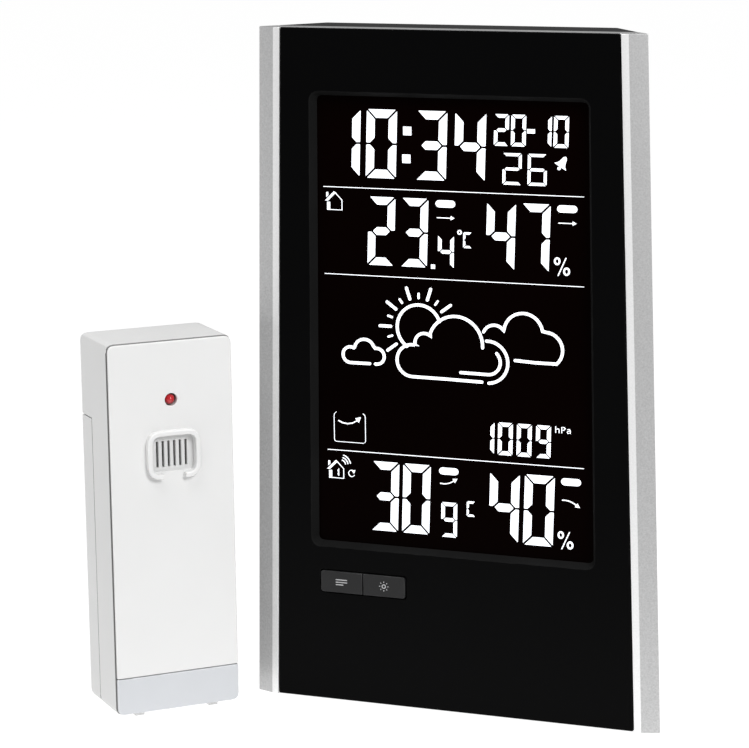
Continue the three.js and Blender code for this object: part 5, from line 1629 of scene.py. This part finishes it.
@dataclass
class Sensor(Assembly):
    """The outdoor sensor: white casing, pale trim plate, red lamp, and its inside."""

    back: Vector
    case_round: float = 0.3
    door_round: float = 0.2
    cover_round: float = 0.3
    hood_round: float = 0.42
    fine_round: float = 0.1
    sharp: float = 30.0
    rim_width: float = 3.5
    seam_depth: float = 0.4
    straight: float = 0.95
    half_turned: float = 0.5
    hood_depth: float = 0.05
    lip_back: float = 2.9
    recess_from: float = 2.15
    dimple_reach: float = 3.2
    recess_shade: float = 0.16
    # The near-black sheet behind the slots, a painted shade: its depth behind the cover, its middle height
    # and its size.
    shade_sheet_back: float = 4.2
    shade_sheet_middle: float = 78.2
    shade_sheet_width: float = 12.0
    shade_sheet_height: float = 9.6
    shade_sheet_thickness: float = 0.24
    shade_sheet_round: float = 0.06

    def build(self) -> None:
        """Adds the sensor's pieces."""
        self.build_cased()
        self.build_slot_shade_sheet()
        self.build_cover()
        self.maker.refine_all(
            (
                ("sensor_trim_plate", SENSOR_TRIM, 0.3, 3),
                ("sensor_led", LENS, 0.0, 0),
                ("sensor_probe", INNER_WHITE, 0.15, 2),
                ("sensor_board", BOARD, 0.08, 1),
                ("sensor_radio_module", BOARD, 0.08, 1),
                ("sensor_antenna", COPPER, 0.0, 0),
                ("sensor_switch_base", CHIP, 0.12, 2),
                ("sensor_channel_switch", KNOB, 0.15, 2),
                ("sensor_screw_1", STEEL, 0.1, 2),
                ("sensor_screw_2", STEEL, 0.1, 2),
            )
        )

    def across(self) -> Vector:
        """Returns the level direction across the sensor."""
        return Vector((-self.back.y, self.back.x, 0.0))

    def front_of(self, bm: Shape) -> float:
        """Returns how far back a part's foremost point lies, along the way to the back."""
        return min(vert.co.dot(self.back) for vert in bm.verts)

    def paint_seam_shade(self, bm: Shape, facing: float, near: float) -> None:
        """Marks the faces that look into the casing's narrow seams for painted shade.

        Args:
            bm: a part of the casing.
            facing: 1 for the faces turned to the back, -1 for those turned to the front.
            near: how far back the seam lies, along the way to the back.
        """
        seam = bm.faces.layers.float.new(PAINTED_SHADE)
        for face in bm.faces:
            face.normal_update()
            at_seam = abs(face.calc_center_median().dot(self.back) - near) < mm(self.seam_depth)
            turned = face.normal.dot(self.back) * facing > self.straight
            face[seam] = 1.0 if turned and at_seam else 0.0

    def build_cased(self) -> None:
        """Adds the shell and the battery door, with painted shade in their seams."""
        for node, radius in (("sensor_shell", self.case_round), ("sensor_battery_door", self.door_round)):
            bm = merged_copy(node)
            self.paint_seam_shade(bm, -1.0, self.front_of(bm))
            round_edges(bm, mm(radius), 3, self.sharp)
            self.maker.stand_in(node, bm, SENSOR_WHITE)

    def build_slot_shade_sheet(self) -> None:
        """Adds a near-black sheet close behind the front cover's slots, a painted shade that keeps them dark.
        """
        cover = merged_copy("sensor_front_cover")
        lamp = middle_of("sensor_led")
        front = self.front_of(cover)
        cover.free()
        middle = lamp + self.back * (front + mm(self.shade_sheet_back) - lamp.dot(self.back))
        middle.z = mm(self.shade_sheet_middle)
        turn = Matrix((self.across(), self.back, Vector((0.0, 0.0, 1.0)))).transposed().to_4x4()
        size = Matrix.Diagonal((mm(self.shade_sheet_width), mm(self.shade_sheet_thickness), mm(self.shade_sheet_height), 1.0))
        bm = bmesh.new()
        bmesh.ops.create_cube(bm, size=1.0, matrix=Matrix.Translation(middle) @ turn @ size)
        round_edges(bm, mm(self.shade_sheet_round), 2, self.sharp)
        self.maker.add("sensor_slot_shade_sheet", bm, SLOT_SHADE_SHEET, "sensor", CASE_BLACK.name)

    def build_cover(self) -> None:
        """Adds the front cover, with painted shade at its seam, in its recess and round the lamp's dimple:
        outline, hood and small edges each have their own rounding.
        """
        bm = merged_copy("sensor_front_cover")
        low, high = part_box("sensor_front_cover")
        lamp = middle_of("sensor_led")
        across = self.across()
        rim = mm(self.rim_width)
        half = max(abs((vert.co - lamp).dot(across)) for vert in bm.verts) - rim
        hood_front = self.front_of(bm)

        def on_the_rim(point: Vector) -> bool:
            """Tells whether a point is on the cover's outline."""
            return (
                abs((point - lamp).dot(across)) > half
                or point.z > high.z - rim
                or point.z < low.z + rim
            )

        def on_the_hood(point: Vector) -> bool:
            """Tells whether a point is on the hood's front."""
            return point.dot(self.back) < hood_front + mm(self.hood_depth)

        # Painted shade on the cover's back faces at the seam, and a lighter painted shade in the recess and
        # round the lamp's dimple.
        self.paint_seam_shade(bm, 1.0, hood_front + mm(self.lip_back))
        seam = bm.faces.layers.float[PAINTED_SHADE]
        for face in bm.faces:
            inward = face.calc_center_median().dot(self.back) - hood_front
            recessed = mm(self.recess_from) < inward < mm(self.lip_back)
            facing_front = face.normal.dot(self.back) < -self.half_turned
            beside_lamp = (face.calc_center_median() - lamp).length < mm(self.dimple_reach)
            if recessed and (facing_front or beside_lamp):
                face[seam] = self.recess_shade
        round_edges(bm, mm(self.cover_round), 3, self.sharp, on_the_rim)
        round_edges(bm, mm(self.hood_round), 4, self.sharp, on_the_hood)
        round_edges(bm, mm(self.fine_round), 2, self.sharp)
        self.maker.stand_in("sensor_front_cover", bm, SENSOR_WHITE)


# ---- Studio ----


@dataclass(frozen=True)
class SoftLight:
    """A square soft light: its place and aim and its side, in metres, and its power in watts."""

    name: str
    place: Triple
    aim: Triple
    size: float
    power: float

    def build(self) -> None:
        """Hangs the light."""
        data = bpy.data.lights.new(self.name, "AREA")
        data.size = self.size
        data.energy = self.power
        light = bpy.data.objects.new(self.name, data)
        bpy.context.scene.collection.objects.link(light)
        light.location = self.place
        light.rotation_euler = (Vector(self.aim) - Vector(self.place)).to_track_quat("-Z", "Y").to_euler()


@dataclass
class Studio:
    """The pale floor, the soft lights and the camera."""

    origin: Vector
    camera_place: Triple = (297.14, -785.11, 268.10)
    camera_way: Triple = (-0.37053, 0.90826, -0.19436)
    camera_roll: float = -0.768
    camera_lens: float = 143.07
    camera_film: float = 36.0
    camera_near: float = 0.01
    camera_far: float = 50.0
    floor_size: float = 30.0
    floor_colour: Colour = (0.3, 0.3, 0.3)
    floor_glow: float = 0.92
    glow_in_front: Colour = (0.38, 0.38, 0.38)
    glow_way: Triple = (-0.378, 0.926, 0.0)
    glow_reach: tuple[float, float] = (-0.26, -0.05)
    sky: float = 0.24
    lights: tuple[SoftLight, ...] = (
        SoftLight("key_light", (0.46, -0.37, 0.5), (0.02, 0.0, 0.15), 0.26, 3.4),
        SoftLight("left_light", (-0.9, -0.5, 0.5), (0.0, 0.0, 0.08), 0.6, 0.35),
        SoftLight("top_light", (-0.16, -0.3, 0.75), (-0.05, 0.0, 0.05), 0.45, 3.0),
    )

    def build(self) -> None:
        """Adds the floor, the sky, the lights and the camera."""
        self.build_floor()
        self.build_sky()
        for light in self.lights:
            light.build()
        self.build_camera()
        bpy.context.scene.view_settings.view_transform = "Standard"

    def build_floor(self) -> None:
        """Adds the floor."""
        bm = bmesh.new()
        bmesh.ops.create_grid(bm, x_segments=1, y_segments=1, size=self.floor_size / 2.0)
        mesh = bpy.data.meshes.new("floor")
        bm.to_mesh(mesh)
        bm.free()
        floor = bpy.data.objects.new("floor", mesh)
        bpy.context.scene.collection.objects.link(floor)
        w = Wiring("floor_paper")
        w.set("Base Color", w.clouded(self.floor_colour, 0.004, 3.0))
        w.set("Roughness", w.span(w.noise(30.0), 0.85, 0.95))
        w.set("Specular IOR Level", 0.0)
        w.set("Emission Strength", self.floor_glow)
        near, far = self.glow_reach
        lit_behind = w.span(w.along(self.glow_way), 0.0, 1.0, near, far)
        w.set("Emission Color", w.mix(lit_behind, self.glow_in_front, (1.0, 1.0, 1.0)))
        mesh.materials.append(w.material)

    def build_sky(self) -> None:
        """Adds the even white light from all round."""
        world = bpy.data.worlds.new("studio_sky")
        world.use_nodes = True
        background = world.node_tree.nodes["Background"]
        background.inputs["Color"].default_value = (1.0, 1.0, 1.0, 1.0)
        background.inputs["Strength"].default_value = self.sky
        bpy.context.scene.world = world

    def build_camera(self) -> None:
        """Adds the camera."""
        data = bpy.data.cameras.new("camera")
        data.sensor_width = self.camera_film
        data.lens = self.camera_lens
        data.clip_start = self.camera_near
        data.clip_end = self.camera_far
        camera = bpy.data.objects.new("camera", data)
        bpy.context.scene.collection.objects.link(camera)
        forward = Vector(self.camera_way).normalized()
        right = forward.cross(Vector((0.0, 0.0, 1.0))).normalized()
        up = right.cross(forward)
        roll = math.radians(self.camera_roll)
        turned_right = right * math.cos(roll) + up * math.sin(roll)
        turned_up = up * math.cos(roll) - right * math.sin(roll)
        facing = Matrix((turned_right, turned_up, -forward)).transposed().to_4x4()
        place = self.origin + Vector(self.camera_place) * MM
        camera.matrix_world = Matrix.Translation(place) @ facing
        bpy.context.scene.camera = camera


def unit_origin() -> Vector:
    """Returns the point on the floor under the middle of the front panel's face."""
    low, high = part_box("front_panel")
    return Vector(((low.x + high.x) / 2.0, low.y, 0.0))


def way_of(joint: str) -> Vector:
    """Returns the direction that a joint moves along or turns about."""
    return Vector(next(entry["axis"] for entry in frame["joints"] if entry["name"] == joint)).normalized()


def main() -> None:
    """Builds the sub-assemblies in order and reports each piece."""
    logging.basicConfig(level=logging.INFO, format="%(name)s %(message)s")
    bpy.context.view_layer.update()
    origin = unit_origin()
    maker = Maker()
    Studio(origin).build()
    Casing(maker).build()
    Screen(maker, origin).build()
    Keys(maker, origin).build()
    Inside(maker).build()
    Power(maker).build()
    Sensor(maker, way_of("sensor_battery_door_off")).build()
    LOG.info("%d pieces finished", len(maker.made))


if __name__ == "__main__":
    main()
